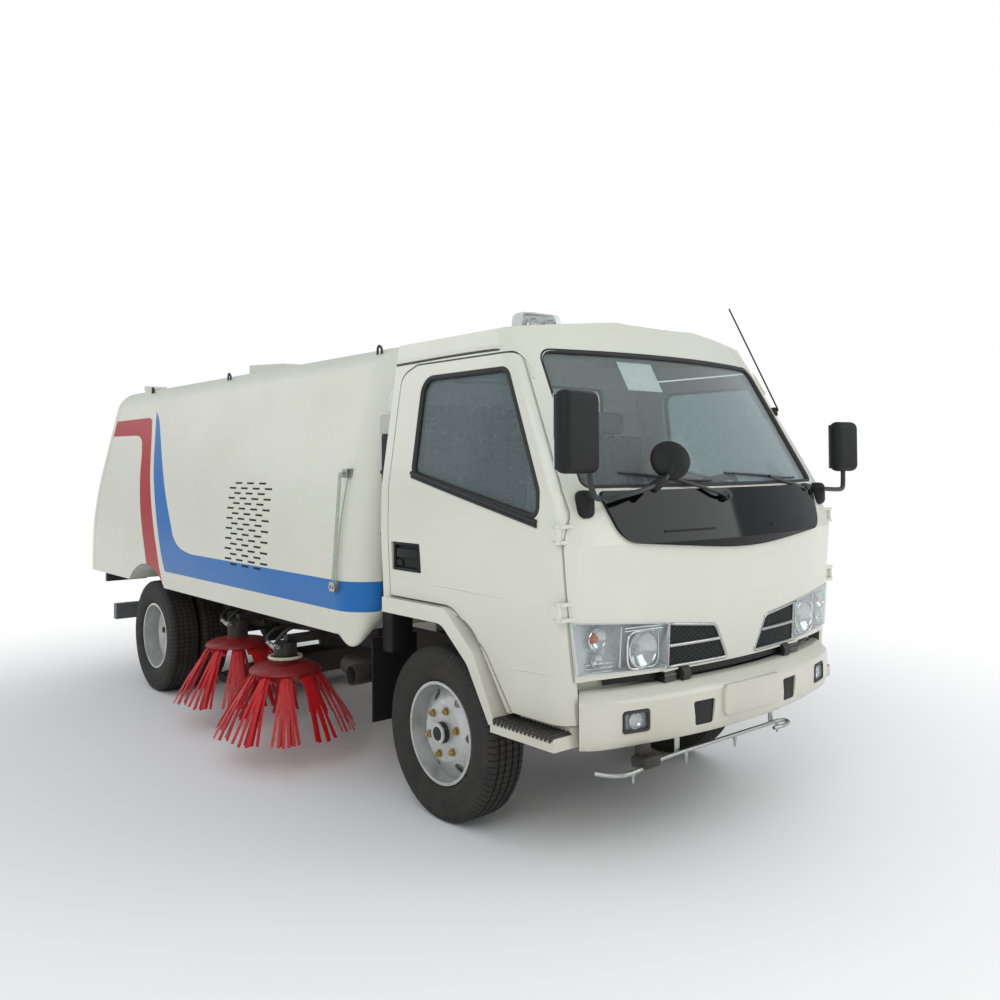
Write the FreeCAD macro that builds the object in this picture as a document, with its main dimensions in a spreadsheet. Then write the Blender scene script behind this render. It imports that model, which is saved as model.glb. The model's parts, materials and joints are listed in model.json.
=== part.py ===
import FreeCAD, Part, Sketcher
import math
import os
import re

from FreeCAD import Placement, Rotation, Vector

# Street sweeper truck: a forward-control cab on a ladder frame, a closed steel sweeper body,
# two side brooms on each side and a suction nozzle between the axles.
# Millimetres. +X points forward, +Y to the truck's left, +Z up from the ground under the tyres.
# The origin is on the ground, midway between the bumper's nose and the tailgate's outer face.

SIZES = {
    # Whole truck
    "total_length": 5600, "front_overhang": 1078, "wheelbase": 3300,
    "run_gap": 0.3, "move_gap": 8, "overrun": 20, "plate": 8,
    # Tyres, rims and hubs
    "tyre_radius": 388, "tyre_width": 200, "rim_radius": 229, "rim_width": 166, "rim_wall": 14,
    "front_track": 1506, "rear_track": 1466, "twin_spacing": 212,
    "disc_wall": 9, "disc_bulge": 22, "hub_radius": 76, "hub_cap_radius": 46, "hub_cap_reach": 34,
    "spindle_radius": 28, "rear_spindle_radius": 45, "hand_hole_radius": 25,
    # Axles and springs
    "kingpin_radius": 14, "kingpin_inset": 128, "kingpin_reach": 84, "eye_radius": 35,
    "eye_height": 100, "ear_height": 28, "upright_wall": 34, "beam_height": 76, "beam_width": 70,
    "beam_drop": 62, "axle_tube_radius": 58, "diff_radius": 150, "diff_width": 200,
    "spring_width": 70, "spring_wall": 34, "front_spring_length": 1080, "rear_spring_length": 1180,
    "spring_inset": 6, "shackle_radius": 26,
    # Ladder frame
    "rail_height": 180, "rail_flange": 60, "rail_spread": 750, "rail_low": 520, "rail_nose": 950,
    "cross_height": 80, "cross_width": 90, "hinge_ear_width": 46, "hinge_ear_radius": 34,
    "cab_post_width": 90, "cab_post_back": 300, "post_depth": 60, "post_low": 600,
    "bracket_depth": 50, "bracket_low": 590, "bracket_high": 680, "bracket_back": 30,
    # Engine, gearbox and drive shaft
    "engine_length": 760, "engine_width": 520, "engine_low": 460, "engine_height": 540,
    "engine_front": 350, "gearbox_length": 560, "gearbox_width": 300, "gearbox_height": 250,
    "shaft_radius": 40,
    # Cab
    "cab_front": 1008, "cab_back": 325, "cab_low": 600, "cab_high": 2246, "cab_wide": 1860,
    "cab_wall": 42, "cab_nose_bow": 225, "cab_corner_radius": 110,
    "cab_floor": 952, "cab_chin": 770, "cab_hinge_x": 985, "cab_hinge_z": 750,
    "cab_hinge_radius": 13, "tunnel_width": 800, "tunnel_high": 1076, "tunnel_front": 400,
    "well_front": 886, "footwell_back": 545, "toe_high": 800,
    "glass_wall": 5, "glass_inset": 16,
    # Doors
    "door_front": 882, "door_back": 262, "door_low": 606, "door_high": 2052, "shut_gap": 8,
    "door_axis_y": 933, "door_hinge_radius": 11, "door_pin": 6, "door_ear": 14,
    "door_barrel": 44, "door_arm": 12, "door_arm_reach": 65, "door_strap": 40,
    "door_strap_reach": 48,
    "handle_length": 224, "handle_height": 130, "handle_depth": 20, "handle_z": 1110,
    # Bumper, spray bar, lamps and grilles
    "bumper_low": 505, "bumper_high": 728, "bumper_wide": 1800, "bumper_wall": 12,
    "bumper_back": 895, "bumper_root": 700, "bumper_bow": 250, "bumper_corner": 200, "bumper_lip": 85,
    "lamp_width": 452, "lamp_height": 212, "lamp_low": 785, "lamp_inner_y": 447, "lamp_gap": 10,
    "lamp_proud": 5, "grille_height": 172, "grille_length": 345,
    "grille_inset": 6, "panel_proud": 14,
    "fog_width": 116, "fog_height": 74, "fog_y": 636, "fog_z": 609, "fog_depth": 40,
    "spray_z": 420, "spray_x": 985, "spray_radius": 13, "spray_length": 1280,
    "nozzle_length": 45, "nozzle_radius": 8,
    # Steps and wheel flares
    "flare_out": 950, "flare_depth": 96, "flare_wall": 26, "step_low": 522, "step_top": 572,
    "step_back": 500, "step_front": 870,
    # Sweeper body
    "box_front": 460, "box_low": 765, "box_high": 2222, "box_wide": 1970, "box_wall": 26,
    "box_nose_radius": 190, "gate_wall": 58, "box_arch_radius": 515,
    "bulkhead_x": 2100, "hatch_length": 620, "hatch_width": 620, "hatch_high": 2335,
    "hatch_x": 2750,
    # Brooms
    "front_broom_x": 1290, "front_broom_y": 930, "rear_broom_x": 2160, "rear_broom_y": 812,
    "broom_z": 500, "broom_disc_radius": 195, "broom_disc_wall": 24, "bristle_low": 150,
    "bristle_reach": 390, "bristle_width": 84, "bristle_wall": 16, "bristle_count": 10,
    "motor_radius": 62, "motor_height": 120, "arm_wall": 46, "arm_z": 640, "arm_pivot_y": 430,
    "pivot_radius": 16, "pivot_length": 150,
    # Suction nozzle and duct
    "mouth_x": 2700, "mouth_length": 260, "mouth_width": 1300, "mouth_low": 110,
    "mouth_height": 150, "mouth_wall": 14, "duct_radius": 110, "duct_wall": 6,
    "duct_overlap": 130,
    # Small pieces on the frame
    "flap_x": 480, "flap_wall": 10, "flap_width": 260, "flap_low": 345, "flap_high": 750,
    "tank_length": 330, "tank_width": 400, "tank_height": 280, "tank_low": 420, "tank_x": 580,
    "intake_x": 352, "intake_thick": 82, "intake_width": 130, "intake_y": 850,
    "intake_low": 690, "intake_high": 2010, "intake_bracket": 50,
    "guard_x": 4230, "guard_height": 120, "guard_wall": 60, "guard_low": 390, "guard_wide": 1800,
    "tail_lamp_width": 320, "tail_lamp_height": 90, "tail_lamp_depth": 60,
    # Cab equipment
    "seat_width": 500, "seat_length": 480, "seat_high": 1270,
    "backrest_high": 1880, "seat_wall": 130, "seat_y": 480, "bench_width": 650,
    "dash_depth": 300, "dash_low": 1120, "dash_high": 1440, "wheel_ring_radius": 200,
    "wheel_ring_wall": 14, "wheel_ring_x": 430, "wheel_ring_z": 1430, "column_radius": 26,
    "mirror_height": 315, "mirror_width": 230, "mirror_wall": 70, "mirror_z": 1710,
    "mirror_x": 1000, "mirror_out": 1050, "mirror_arm_radius": 13,
    "beacon_length": 150, "beacon_width": 290, "beacon_high": 2390, "beacon_x": 300,
    "mirror_base_x": 950, "mirror_base_y": 830, "mirror_base_z": 1455,
    "antenna_radius": 4, "wiper_radius": 9, "wiper_z": 1500, "wiper_rise": 45,
    "aerial_x": 690, "aerial_y": 800, "aerial_low": 1860, "aerial_high": 2410, "aerial_lean": 290,
    "dash_x": 600, "column_run": 360, "column_drop": 693, "door_arch_high": 989,
    "step_depth": 240, "vent_y": 299, "fog_inset": 6,
    "box_gap": 6, "tub_inner": 500, "gate_hinge_lift": 26, "gate_barrel": 90, "gate_pin": 10,
    "aux_x": 1550, "aux_length": 900, "aux_width": 800, "aux_height": 620,
    "gauge_x": 640, "gauge_top_y": 965, "gauge_foot_y": 1008, "gauge_high": 1546,
    "gauge_low": 993, "gauge_radius": 9, "duct_y": 185, "duct_low": 470,
    "broom_shaft_radius": 20, "broom_shaft_length": 60, "flap_out": 880,
    "exhaust_x": 600, "exhaust_length": 240, "exhaust_y": 800, "exhaust_z": 560,
    "exhaust_radius": 50, "exhaust_wall": 4, "exhaust_out": 930, "exhaust_reach": 230,
    "tail_lamp_y": 740, "spray_right": 780, "gate_barrel_wall": 6, "gate_strap_wall": 4,
    "panel_width": 1480, "panel_low": 1262, "panel_height": 226,
}

doc = FreeCAD.newDocument("StreetSweeper")
sheet = doc.addObject("Spreadsheet::Sheet", "Sizes")
for row, (size_name, size) in enumerate(SIZES.items(), start=1):
    sheet.set(f"A{row}", size_name)
    sheet.set(f"B{row}", str(size))
    sheet.setAlias(f"B{row}", size_name)
doc.recompute()

WORD = re.compile(r"[A-Za-z_][A-Za-z_0-9]*")
PLANES = {"x": "YZ_Plane", "y": "XZ_Plane", "z": "XY_Plane"}
nodes = []


def linked(text):
    """The expression with every size name pointing at its cell in the sheet."""
    return WORD.sub(lambda m: "Sizes." + m.group(0) if m.group(0) in SIZES else m.group(0), text)


def mm(text):
    """The present value of an expression of sizes."""
    return float(sheet.evalExpression(linked(text)))


def bind(thing, **properties):
    """Binds properties to expressions; a double underscore stands for a point."""
    for name, text in properties.items():
        thing.setExpression(name.replace("__", "."), linked(text))
    return thing


def place(thing, x="0", y="0", z="0"):
    return bind(thing, Placement__Base__x=x, Placement__Base__y=y, Placement__Base__z=z)


def node(label, thing):
    """Names a finished sub-part, which is written to its own file."""
    thing.Label = label
    nodes.append(thing)
    return thing


def origin_of(body, role):
    return [f for f in body.Origin.OriginFeatures if f.Role == role][0]


def outline(sketch, corners):
    """A closed outline through bound corners (u, v) or, where it is rounded, (u, v, radius)."""
    points = [Vector(mm(c[0]), mm(c[1]), 0) for c in corners]
    radii = [mm(c[2]) if len(c) > 2 else 0 for c in corners]
    count = len(points)
    starts, ends, centres = [], [], []
    for i, point in enumerate(points):
        if radii[i] == 0:
            starts.append(point)
            ends.append(point)
            centres.append(None)
            continue
        back = (points[i - 1] - point).normalize()
        ahead = (points[(i + 1) % count] - point).normalize()
        half = back.getAngle(ahead) / 2
        tangent = radii[i] / math.tan(half)
        starts.append(point + back * tangent)
        ends.append(point + ahead * tangent)
        centres.append(point + (back + ahead).normalize() * (radii[i] / math.sin(half)))
    lines = [sketch.addGeometry(Part.LineSegment(ends[i], starts[(i + 1) % count]))
             for i in range(count)]
    for i, point in enumerate(points):
        before, after = lines[i - 1], lines[i]
        if radii[i] == 0:
            sketch.addConstraint(Sketcher.Constraint("Coincident", before, 2, after, 1))
            mark = (after, 1)
        else:
            mark = rounded(sketch, before, after, point, starts[i], ends[i], centres[i], corners[i])
        for kind, value, text in (("DistanceX", point.x, corners[i][0]),
                                  ("DistanceY", point.y, corners[i][1])):
            index = sketch.addConstraint(
                Sketcher.Constraint(kind, -1, 1, mark[0], mark[1], value))
            sketch.setExpression(f"Constraints[{index}]", linked(text))


def rounded(sketch, before, after, point, start, end, centre, corner):
    """An arc tangent to two lines, with a construction point where the lines would meet."""
    radius = mm(corner[2])
    first = math.atan2(start.y - centre.y, start.x - centre.x)
    last = math.atan2(end.y - centre.y, end.x - centre.x)
    left = (start - centre).cross(end - centre).z > 0
    circle = Part.Circle(centre, Vector(0, 0, 1), radius)
    arc = Part.ArcOfCircle(circle, first, last) if left else Part.ArcOfCircle(circle, last, first)
    curve = sketch.addGeometry(arc)
    near, far = (1, 2) if left else (2, 1)
    sketch.addConstraint(Sketcher.Constraint("Tangent", before, 2, curve, near))
    sketch.addConstraint(Sketcher.Constraint("Tangent", curve, far, after, 1))
    index = sketch.addConstraint(Sketcher.Constraint("Radius", curve, radius))
    sketch.setExpression(f"Constraints[{index}]", linked(corner[2]))
    meet = sketch.addGeometry(Part.Point(point), True)
    sketch.addConstraint(Sketcher.Constraint("PointOnObject", meet, 1, before))
    sketch.addConstraint(Sketcher.Constraint("PointOnObject", meet, 1, after))
    return meet, 1


def sketched(body, name, axis, corners, height="0"):
    """A sketch square to an axis, at a bound height along it."""
    sketch = body.newObject("Sketcher::SketchObject", name)
    sketch.AttachmentSupport = (origin_of(body, PLANES[axis]), [""])
    sketch.MapMode = "FlatFace"
    lift = f"-({height})" if axis == "y" else height
    bind(sketch, AttachmentOffset__Base__z=lift)
    outline(sketch, corners)
    return sketch


def prism(name, axis, corners, low, high):
    """An outline square to an axis, padded from low to high along it."""
    body = doc.addObject("PartDesign::Body", name)
    sketch = sketched(body, name + "_outline", axis, corners, high if axis == "y" else low)
    pad = body.newObject("PartDesign::Pad", name + "_pad")
    pad.Profile = sketch
    bind(pad, Length=f"({high}) - ({low})")
    sketch.Visibility = False
    return body


def turned(name, corners, axis="y"):
    """An outline of (place along the axis, radius) corners, turned round that axis."""
    body = doc.addObject("PartDesign::Body", name)
    plane = "x" if axis == "y" else "y"
    flat = corners if axis == "y" else [(c[1], c[0], *c[2:]) for c in corners]
    sketch = sketched(body, name + "_outline", plane, flat)
    turn = body.newObject("PartDesign::Revolution", name + "_turn")
    turn.Profile = sketch
    turn.ReferenceAxis = (sketch, ["H_Axis" if axis == "y" else "V_Axis"])
    turn.Angle = 360
    return body


def block(name, x, y, z):
    """A box between two bound places along each axis."""
    solid = doc.addObject("Part::Box", name)
    bind(solid, Length=f"({x[1]}) - ({x[0]})", Width=f"({y[1]}) - ({y[0]})",
         Height=f"({z[1]}) - ({z[0]})")
    return place(solid, x[0], y[0], z[0])


def rod(name, axis, x, y, z, radius, length):
    """A round bar from a bound place, along an axis."""
    solid = doc.addObject("Part::Cylinder", name)
    bind(solid, Radius=radius, Height=length)
    turn = {"x": Rotation(Vector(0, 1, 0), 90), "y": Rotation(Vector(1, 0, 0), -90),
            "z": Rotation()}[axis]
    solid.Placement = Placement(Vector(), turn)
    return place(solid, x, y, z)


def strut(name, start, end, radius):
    """A round bar between two bound points."""
    a, b = (Vector(*(mm(t) for t in p)) for p in (start, end))
    solid = doc.addObject("Part::Cylinder", name)
    bind(solid, Radius=radius)
    solid.Height = (b - a).Length
    solid.Placement = Placement(Vector(), Rotation(Vector(0, 0, 1), b - a))
    return place(solid, *start)


def fuse(name, pieces):
    whole = doc.addObject("Part::MultiFuse", name)
    whole.Shapes = pieces
    whole.Refine = True
    return whole


def common(name, pieces):
    whole = doc.addObject("Part::MultiCommon", name)
    whole.Shapes = pieces
    return whole


def cut(name, base, *tools):
    """The base with the tools taken away."""
    whole = doc.addObject("Part::Cut", name)
    whole.Base = base
    whole.Tool = tools[0] if len(tools) == 1 else fuse(name + "_tools", list(tools))
    return whole


def mirrored(name, piece):
    """The same piece on the other side of the truck."""
    other = doc.addObject("Part::Mirroring", name)
    other.Source = piece
    other.Base = Vector(0, 0, 0)
    other.Normal = Vector(0, 1, 0)
    return other


def shared(shares, x, z, radius="0"):
    """Corners from shares of a box given as (start, size) along each side."""
    return [(f"{x[0]} + {c[0]} * ({x[1]})", f"{z[0]} + {c[1]} * ({z[1]})",
             *((f"{c[2]} * ({z[1]})",) if len(c) > 2 else ())) for c in shares]


front_axle = "(total_length / 2 - front_overhang)"
rear_axle = "(total_length / 2 - front_overhang - wheelbase)"
tail = "(-total_length / 2)"
rail_top = "(rail_low + rail_height)"
rail_out = "(rail_spread / 2)"
rail_in = "(rail_spread / 2 - rail_flange)"

# Tyres, turned about the axle; the twin rear tyres of a side turn together.
TYRE_SHARES = ((-0.40, 0), (-0.5, 0.55), (-0.36, 1), (0.36, 1), (0.5, 0.55), (0.40, 0))


def tyre(name, middle):
    return turned(name, shared(TYRE_SHARES, (middle, "tyre_width"),
                               ("rim_radius", "tyre_radius - rim_radius")))


# Rims: a steel ring with flanges, a dished disc with hand holes, and the hub and its cap.
def rim_ring(name, middle):
    edge = "rim_width / 2"
    lip = "rim_radius - run_gap"
    seat = "rim_radius - rim_wall"
    return turned(name, [(f"{middle} - {edge}", lip), (f"{middle} - {edge}", seat),
                         (f"{middle} + {edge}", seat), (f"{middle} + {edge}", lip)])


DISC_SHOULDER_SHARE = 0.56
HOLE_RING_SHARE = 0.75
HAND_HOLE_COUNT = 6


def wheel_disc(name, root_y, face_y, bore, way):
    """A dished disc from the rim's seat at root_y to its flat face at face_y."""
    seat = "(rim_radius - rim_wall)"
    shoulder = f"{DISC_SHOULDER_SHARE} * rim_radius"
    back = f" - {way} * disc_wall"
    dish = turned(name + "_dish", [(root_y, seat), (face_y, shoulder), (face_y, bore),
                                   (face_y + back, bore), (face_y + back, shoulder),
                                   (root_y + back, seat)])
    holes = []
    for i in range(HAND_HOLE_COUNT):
        hole = rod(f"{name}_hole_{i}", "y", "0", "-rim_width", "0", "hand_hole_radius",
                   "2 * rim_width")
        turn = math.radians(360 / HAND_HOLE_COUNT * i)
        holes.append(place(hole, f"{HOLE_RING_SHARE * math.cos(turn)} * rim_radius", "-rim_width",
                           f"{HOLE_RING_SHARE * math.sin(turn)} * rim_radius"))
    return cut(name, dish, *holes)


front_hub_back = "(-rim_width / 2 + 2 * overrun)"
front_face = "(rim_width / 2 - disc_bulge)"
front_rim = fuse("front_rim", [
    rim_ring("front_ring", "0"),
    wheel_disc("front_disc", "0", front_face, "spindle_radius + run_gap", "1"),
    turned("front_hub", [
        (front_hub_back, "spindle_radius + run_gap"), (front_hub_back, "hub_radius"),
        (front_face, "hub_radius"), (front_face, "hub_cap_radius"),
        (f"{front_face} + hub_cap_reach", "hub_cap_radius"), (f"{front_face} + hub_cap_reach", "0"),
        ("disc_bulge", "0"), ("disc_bulge", "spindle_radius + run_gap")])])
front_tyre = tyre("front_tyre", "0")

rear_hub_reach = "(twin_spacing / 2 - overrun)"
rear_rim = fuse("rear_rim", [
    rim_ring("outer_ring", "twin_spacing / 2"), rim_ring("inner_ring", "-twin_spacing / 2"),
    wheel_disc("outer_disc", "rim_width / 2", "disc_wall", "rear_spindle_radius + run_gap", "1"),
    wheel_disc("inner_disc", "-rim_width / 2", "-disc_wall", "rear_spindle_radius + run_gap", "-1"),
    turned("rear_hub", [
        ("-rim_width / 2", "rear_spindle_radius + run_gap"), ("-rim_width / 2", "hub_radius"),
        (rear_hub_reach, "hub_radius"), (rear_hub_reach, "0"), ("disc_bulge", "0"),
        ("disc_bulge", "rear_spindle_radius + run_gap")])])
rear_tyres = fuse("rear_tyre_pair", [tyre("outer_tyre", "twin_spacing / 2"),
                                     tyre("inner_tyre", "-twin_spacing / 2")])
wheel_places = (("front", front_axle, "front_track / 2", front_tyre, front_rim),
                ("rear", rear_axle, "rear_track / 2", rear_tyres, rear_rim))
for end, axle_x, half_track, rubber, steel in wheel_places:
    left_tyre = place(doc.addObject("Part::Compound", f"{end}_tyre_placed"),
                      axle_x, half_track, "tyre_radius")
    left_tyre.Links = [rubber]
    left_rim = place(doc.addObject("Part::Compound", f"{end}_rim_placed"),
                     axle_x, half_track, "tyre_radius")
    left_rim.Links = [steel]
    node(f"tyre_{end}_right", mirrored(f"{end}_tyre_other", left_tyre))
    node(f"tyre_{end}_left", left_tyre)
    node(f"rim_{end}_right", mirrored(f"{end}_rim_other", left_rim))
    node(f"rim_{end}_left", left_rim)

# Front axle: a forged beam with an eye at each end, which holds the kingpin.
kingpin_y = "(front_track / 2 - kingpin_inset)"
ear_gap = "(eye_height / 2 + run_gap)"
beam_low = "(tyre_radius - beam_drop - beam_height)"
eye = [
    rod("kingpin_eye", "z", front_axle, kingpin_y, "tyre_radius - eye_height / 2",
        "eye_radius", "eye_height"),
    rod("kingpin", "z", front_axle, kingpin_y, "tyre_radius - kingpin_reach",
        "kingpin_radius", "2 * kingpin_reach")]
BEAM_SHARES = ((-1, 1.6), (-0.72, 0), (0.72, 0), (1, 1.6), (1, 2.6), (0.66, 1), (-0.66, 1),
               (-1, 2.6))
beam = prism("axle_beam", "x", [(f"{u} * {kingpin_y}", f"{beam_low} + {v} * beam_height")
                                for u, v in BEAM_SHARES],
             f"{front_axle} - beam_width / 2", f"{front_axle} + beam_width / 2")
room = rod("ear_room_top", "z", front_axle, kingpin_y, "tyre_radius + eye_height / 2",
           "2 * eye_radius", "2 * ear_height")
room_low = rod("ear_room_low", "z", front_axle, kingpin_y,
               "tyre_radius - eye_height / 2 - 2 * ear_height", "2 * eye_radius",
               "2 * ear_height")
trimmed = cut("axle_beam_trimmed", beam, room, room_low, mirrored("ear_room_top_other", room),
              mirrored("ear_room_low_other", room_low))
node("front_axle", fuse("front_axle_whole", [trimmed, *eye, mirrored("eye_other", eye[0]),
                                             mirrored("kingpin_other", eye[1])]))

# Knuckles: two ears round the kingpin, an upright outside them, and the spindle.
upright_y = f"({kingpin_y} + eye_radius + move_gap)"
ear_top = f"(tyre_radius + {ear_gap} + ear_height)"
ear_low = f"(tyre_radius - {ear_gap} - ear_height)"
ears = []
for level, low, high in (("top", f"tyre_radius + {ear_gap}", ear_top),
                         ("low", ear_low, f"tyre_radius - {ear_gap}")):
    ears.append(rod(f"ear_{level}", "z", front_axle, kingpin_y, low, "eye_radius", "ear_height"))
    ears.append(block(f"ear_arm_{level}", (f"{front_axle} - eye_radius", f"{front_axle} + eye_radius"),
                      (kingpin_y, f"{upright_y} + overrun"), (low, high)))
upright = block("upright", (f"{front_axle} - eye_radius", f"{front_axle} + eye_radius"),
                (upright_y, f"{upright_y} + upright_wall"), (ear_low, ear_top))
spindle = rod("spindle", "y", front_axle, f"{upright_y} + overrun / 2", "tyre_radius",
              "spindle_radius", f"front_track / 2 + disc_bulge - run_gap - {upright_y} - overrun / 2")
pin_room = rod("kingpin_room", "z", front_axle, kingpin_y, "0", "kingpin_radius + run_gap",
               "2 * tyre_radius")
knuckle = cut("knuckle", fuse("knuckle_solid", [*ears, upright, spindle]), pin_room)
node("knuckle_right", mirrored("knuckle_other", knuckle))
node("knuckle_left", knuckle)

# Rear axle: tube, differential housing and the ends that carry the hubs.
node("rear_axle", fuse("rear_axle_whole", [
    rod("axle_tube", "y", rear_axle, "-rear_track / 2 + rim_width / 2 + move_gap", "tyre_radius",
        "axle_tube_radius", "rear_track - rim_width - 2 * move_gap"),
    rod("axle_ends", "y", rear_axle, "-rear_track / 2 - disc_bulge + run_gap", "tyre_radius",
        "rear_spindle_radius", "rear_track + 2 * disc_bulge - 2 * run_gap"),
    place(turned("differential", [
        ("-diff_width / 2", "0"), ("-diff_width / 2", "diff_radius / 2"),
        ("-diff_width / 4", "diff_radius"), ("diff_width / 4", "diff_radius"),
        ("diff_width / 2", "diff_radius / 2"), ("diff_width / 2", "0")]),
        rear_axle, "0", "tyre_radius")]))

# Leaf springs: a bowed pack under each rail, hung from shackles.
spring_y = "(rail_spread / 2 - spring_width / 2 + spring_inset)"
springs = []
for end, axle_x, length, seat in (
        ("front", front_axle, "front_spring_length", f"({beam_low} + beam_height + run_gap)"),
        ("rear", rear_axle, "rear_spring_length", "(tyre_radius + axle_tube_radius + run_gap)")):
    half = f"{length} / 2"
    top = f"(rail_low - shackle_radius)"
    pack = prism(f"{end}_spring", "y", [
        (f"{axle_x} - {half}", f"{top} - spring_wall"), (f"{axle_x} - beam_width", seat),
        (f"{axle_x} + beam_width", seat), (f"{axle_x} + {half}", f"{top} - spring_wall"),
        (f"{axle_x} + {half}", top), (f"{axle_x} + beam_width", f"{seat} + 2 * spring_wall"),
        (f"{axle_x} - beam_width", f"{seat} + 2 * spring_wall"), (f"{axle_x} - {half}", top)],
        f"{spring_y} - spring_width / 2", f"{spring_y} + spring_width / 2")
    for way in ("-", "+"):
        springs.append(rod(f"{end}_shackle_{'back' if way == '-' else 'front'}", "y",
                           f"{axle_x} {way} {half}", f"{spring_y} - spring_width / 2",
                           "rail_low - shackle_radius - run_gap", "shackle_radius",
                           "spring_width"))
    springs.append(pack)
left_springs = fuse("left_springs", springs)
right_springs = mirrored("right_springs", left_springs)
pair = doc.addObject("Part::Compound", "spring_pair")
pair.Links = [left_springs, right_springs]
node("leaf_springs", pair)

# Ladder frame: two channel rails with cross members, the cab's hinge ears and its rear rest.
rail_front = f"({front_axle} + rail_nose)"
CROSS_SHARES = (0.006, 0.43, 0.60, 0.86, 0.985)
members = []
for side, out, inner in (("left", rail_out, rail_in), ("right", f"-{rail_out}", f"-{rail_in}")):
    low_y, high_y = (inner, out) if side == "left" else (out, inner)
    web = block(f"{side}_rail_solid", (f"{tail} + gate_wall + overrun", rail_front),
                (low_y, high_y), ("rail_low", rail_top))
    groove_y = ((f"{inner} - overrun", f"{out} - plate") if side == "left"
                else (f"{out} + plate", f"{inner} + overrun"))
    groove = block(f"{side}_rail_groove", (tail, f"{rail_front} + overrun"), groove_y,
                   ("rail_low + plate", f"{rail_top} - plate"))
    members.append(cut(f"{side}_rail", web, groove))
frame_length = f"({rail_front} - {tail} - gate_wall - overrun)"
for i, share in enumerate(CROSS_SHARES):
    back = f"({rail_front} - {share} * ({frame_length} - cross_width) - cross_width)"
    members.append(block(f"cross_member_{i}", (back, f"{back} + cross_width"),
                         (f"-{rail_out} + plate / 2", f"{rail_out} - plate / 2"),
                         (f"{rail_top} - cross_height", f"{rail_top} - plate / 2")))
hinge_x = f"({front_axle} + cab_hinge_x)"
hinge_y = f"({rail_out} - hinge_ear_width / 2)"
for side, way in (("left", "1"), ("right", "-1")):
    low = f"{way} * {hinge_y} - hinge_ear_width / 2"
    high = f"{way} * {hinge_y} + hinge_ear_width / 2"
    ear = fuse(f"{side}_hinge_ear_solid", [
        rod(f"{side}_hinge_ear_eye", "y", hinge_x, low, "cab_hinge_z", "hinge_ear_radius",
            "hinge_ear_width"),
        prism(f"{side}_hinge_ear_web", "y", [
            (f"{rail_front} - 2 * hinge_ear_radius", f"{rail_top} - plate"),
            (f"{rail_front} - 2 * hinge_ear_radius", f"{rail_top} + plate / 4"),
            (f"{hinge_x} - hinge_ear_radius / 2", "cab_hinge_z + 0.8 * hinge_ear_radius"),
            (f"{hinge_x} + 0.8 * hinge_ear_radius", "cab_hinge_z - hinge_ear_radius / 2"),
            (f"{rail_front}", f"{rail_top} - cross_height"),
            (f"{rail_front} - plate", f"{rail_top} - cross_height")], low, high)])
    members.append(cut(f"{side}_hinge_ear", ear, rod(
        f"{side}_hinge_hole", "y", hinge_x, f"-{rail_out} - overrun", "cab_hinge_z",
        "cab_hinge_radius + run_gap", f"2 * {rail_out} + 2 * overrun")))
post_x = f"({front_axle} - cab_post_back)"
for side, low, high in (("left", f"{rail_out} - plate", f"{rail_out} + post_depth"),
                        ("right", f"-{rail_out} - post_depth", f"-{rail_out} + plate")):
    members.append(block(f"{side}_cab_post", (f"{post_x} - cab_post_width / 2",
                                              f"{post_x} + cab_post_width / 2"),
                         (low, high), ("post_low", "cab_floor - run_gap")))

# Engine and gearbox, one plain block, and the shaft to the rear axle.
engine_nose = f"({front_axle} + engine_front)"
engine_back = f"({engine_nose} - engine_length)"
gearbox_back = f"({engine_back} - gearbox_length)"
node("engine_block", fuse("engine_and_gearbox", [
    block("engine", (engine_back, engine_nose), ("-engine_width / 2", "engine_width / 2"),
          ("engine_low", "engine_low + engine_height")),
    block("gearbox", (gearbox_back, f"{engine_back} + overrun"),
          ("-gearbox_width / 2", "gearbox_width / 2"),
          ("engine_low", "engine_low + gearbox_height")),
    block("engine_mounts", (f"{engine_back} + 2 * cross_width", f"{engine_back} + 3 * cross_width"),
          (f"-{rail_in} + run_gap", f"{rail_in} - run_gap"),
          ("rail_low + cross_width / 2", "rail_low + cross_width"))]))
shaft_ends = (f"{rear_axle} + diff_radius + run_gap", f"{gearbox_back} - run_gap")
node("drive_shaft", common("drive_shaft_shape", [
    strut("drive_shaft_bar", (f"{gearbox_back} + overrun", "0", "engine_low + gearbox_height / 2"),
          (f"{rear_axle} + diff_radius - overrun", "0", "tyre_radius"), "shaft_radius"),
    block("drive_shaft_room", shaft_ends, ("-2 * shaft_radius", "2 * shaft_radius"),
          ("0", "2 * tyre_radius"))]))

# Cab shell: level sections, each a bowed nose with rounded corners, lofted through the height.
# Rows are height, reach ahead of the front axle and half width, as shares.
CAB_SECTION_SHARES = ((0.0, 1.000, 0.968), (0.415, 1.042, 1.0), (0.541, 0.976, 0.995),
                      (0.900, 0.655, 0.898), (1.02, 0.545, 0.860))
NOSE_ARC_SHARE = 0.8
cab_high_step = "(cab_high - cab_low)"


def nose(front, side, back, bow, corner):
    """A plan outline with a nose that bows back by about bow, and rounded corners."""
    arc = f"({NOSE_ARC_SHARE} * {side} * {side} / {bow})"
    peak = f"({front} + {arc} * (sqrt({side} * {side} + {bow} * {bow}) / {side} - 1))"
    shoulder = f"{peak} - {bow}"
    return [(back, f"-{side}"), (shoulder, f"-{side}", corner), (peak, "0", arc),
            (shoulder, side, corner), (back, side)]


def cab_section(level, inset, ahead):
    height, reach, half = CAB_SECTION_SHARES[level]
    corners = nose(f"({front_axle} + {reach} * cab_front - {inset} + {ahead})",
                   f"({half} * cab_wide / 2 - {inset})", f"({front_axle} - cab_back + {inset})",
                   "cab_nose_bow", f"cab_corner_radius - {inset}")
    return corners, f"cab_low + {height} * {cab_high_step}"


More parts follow.
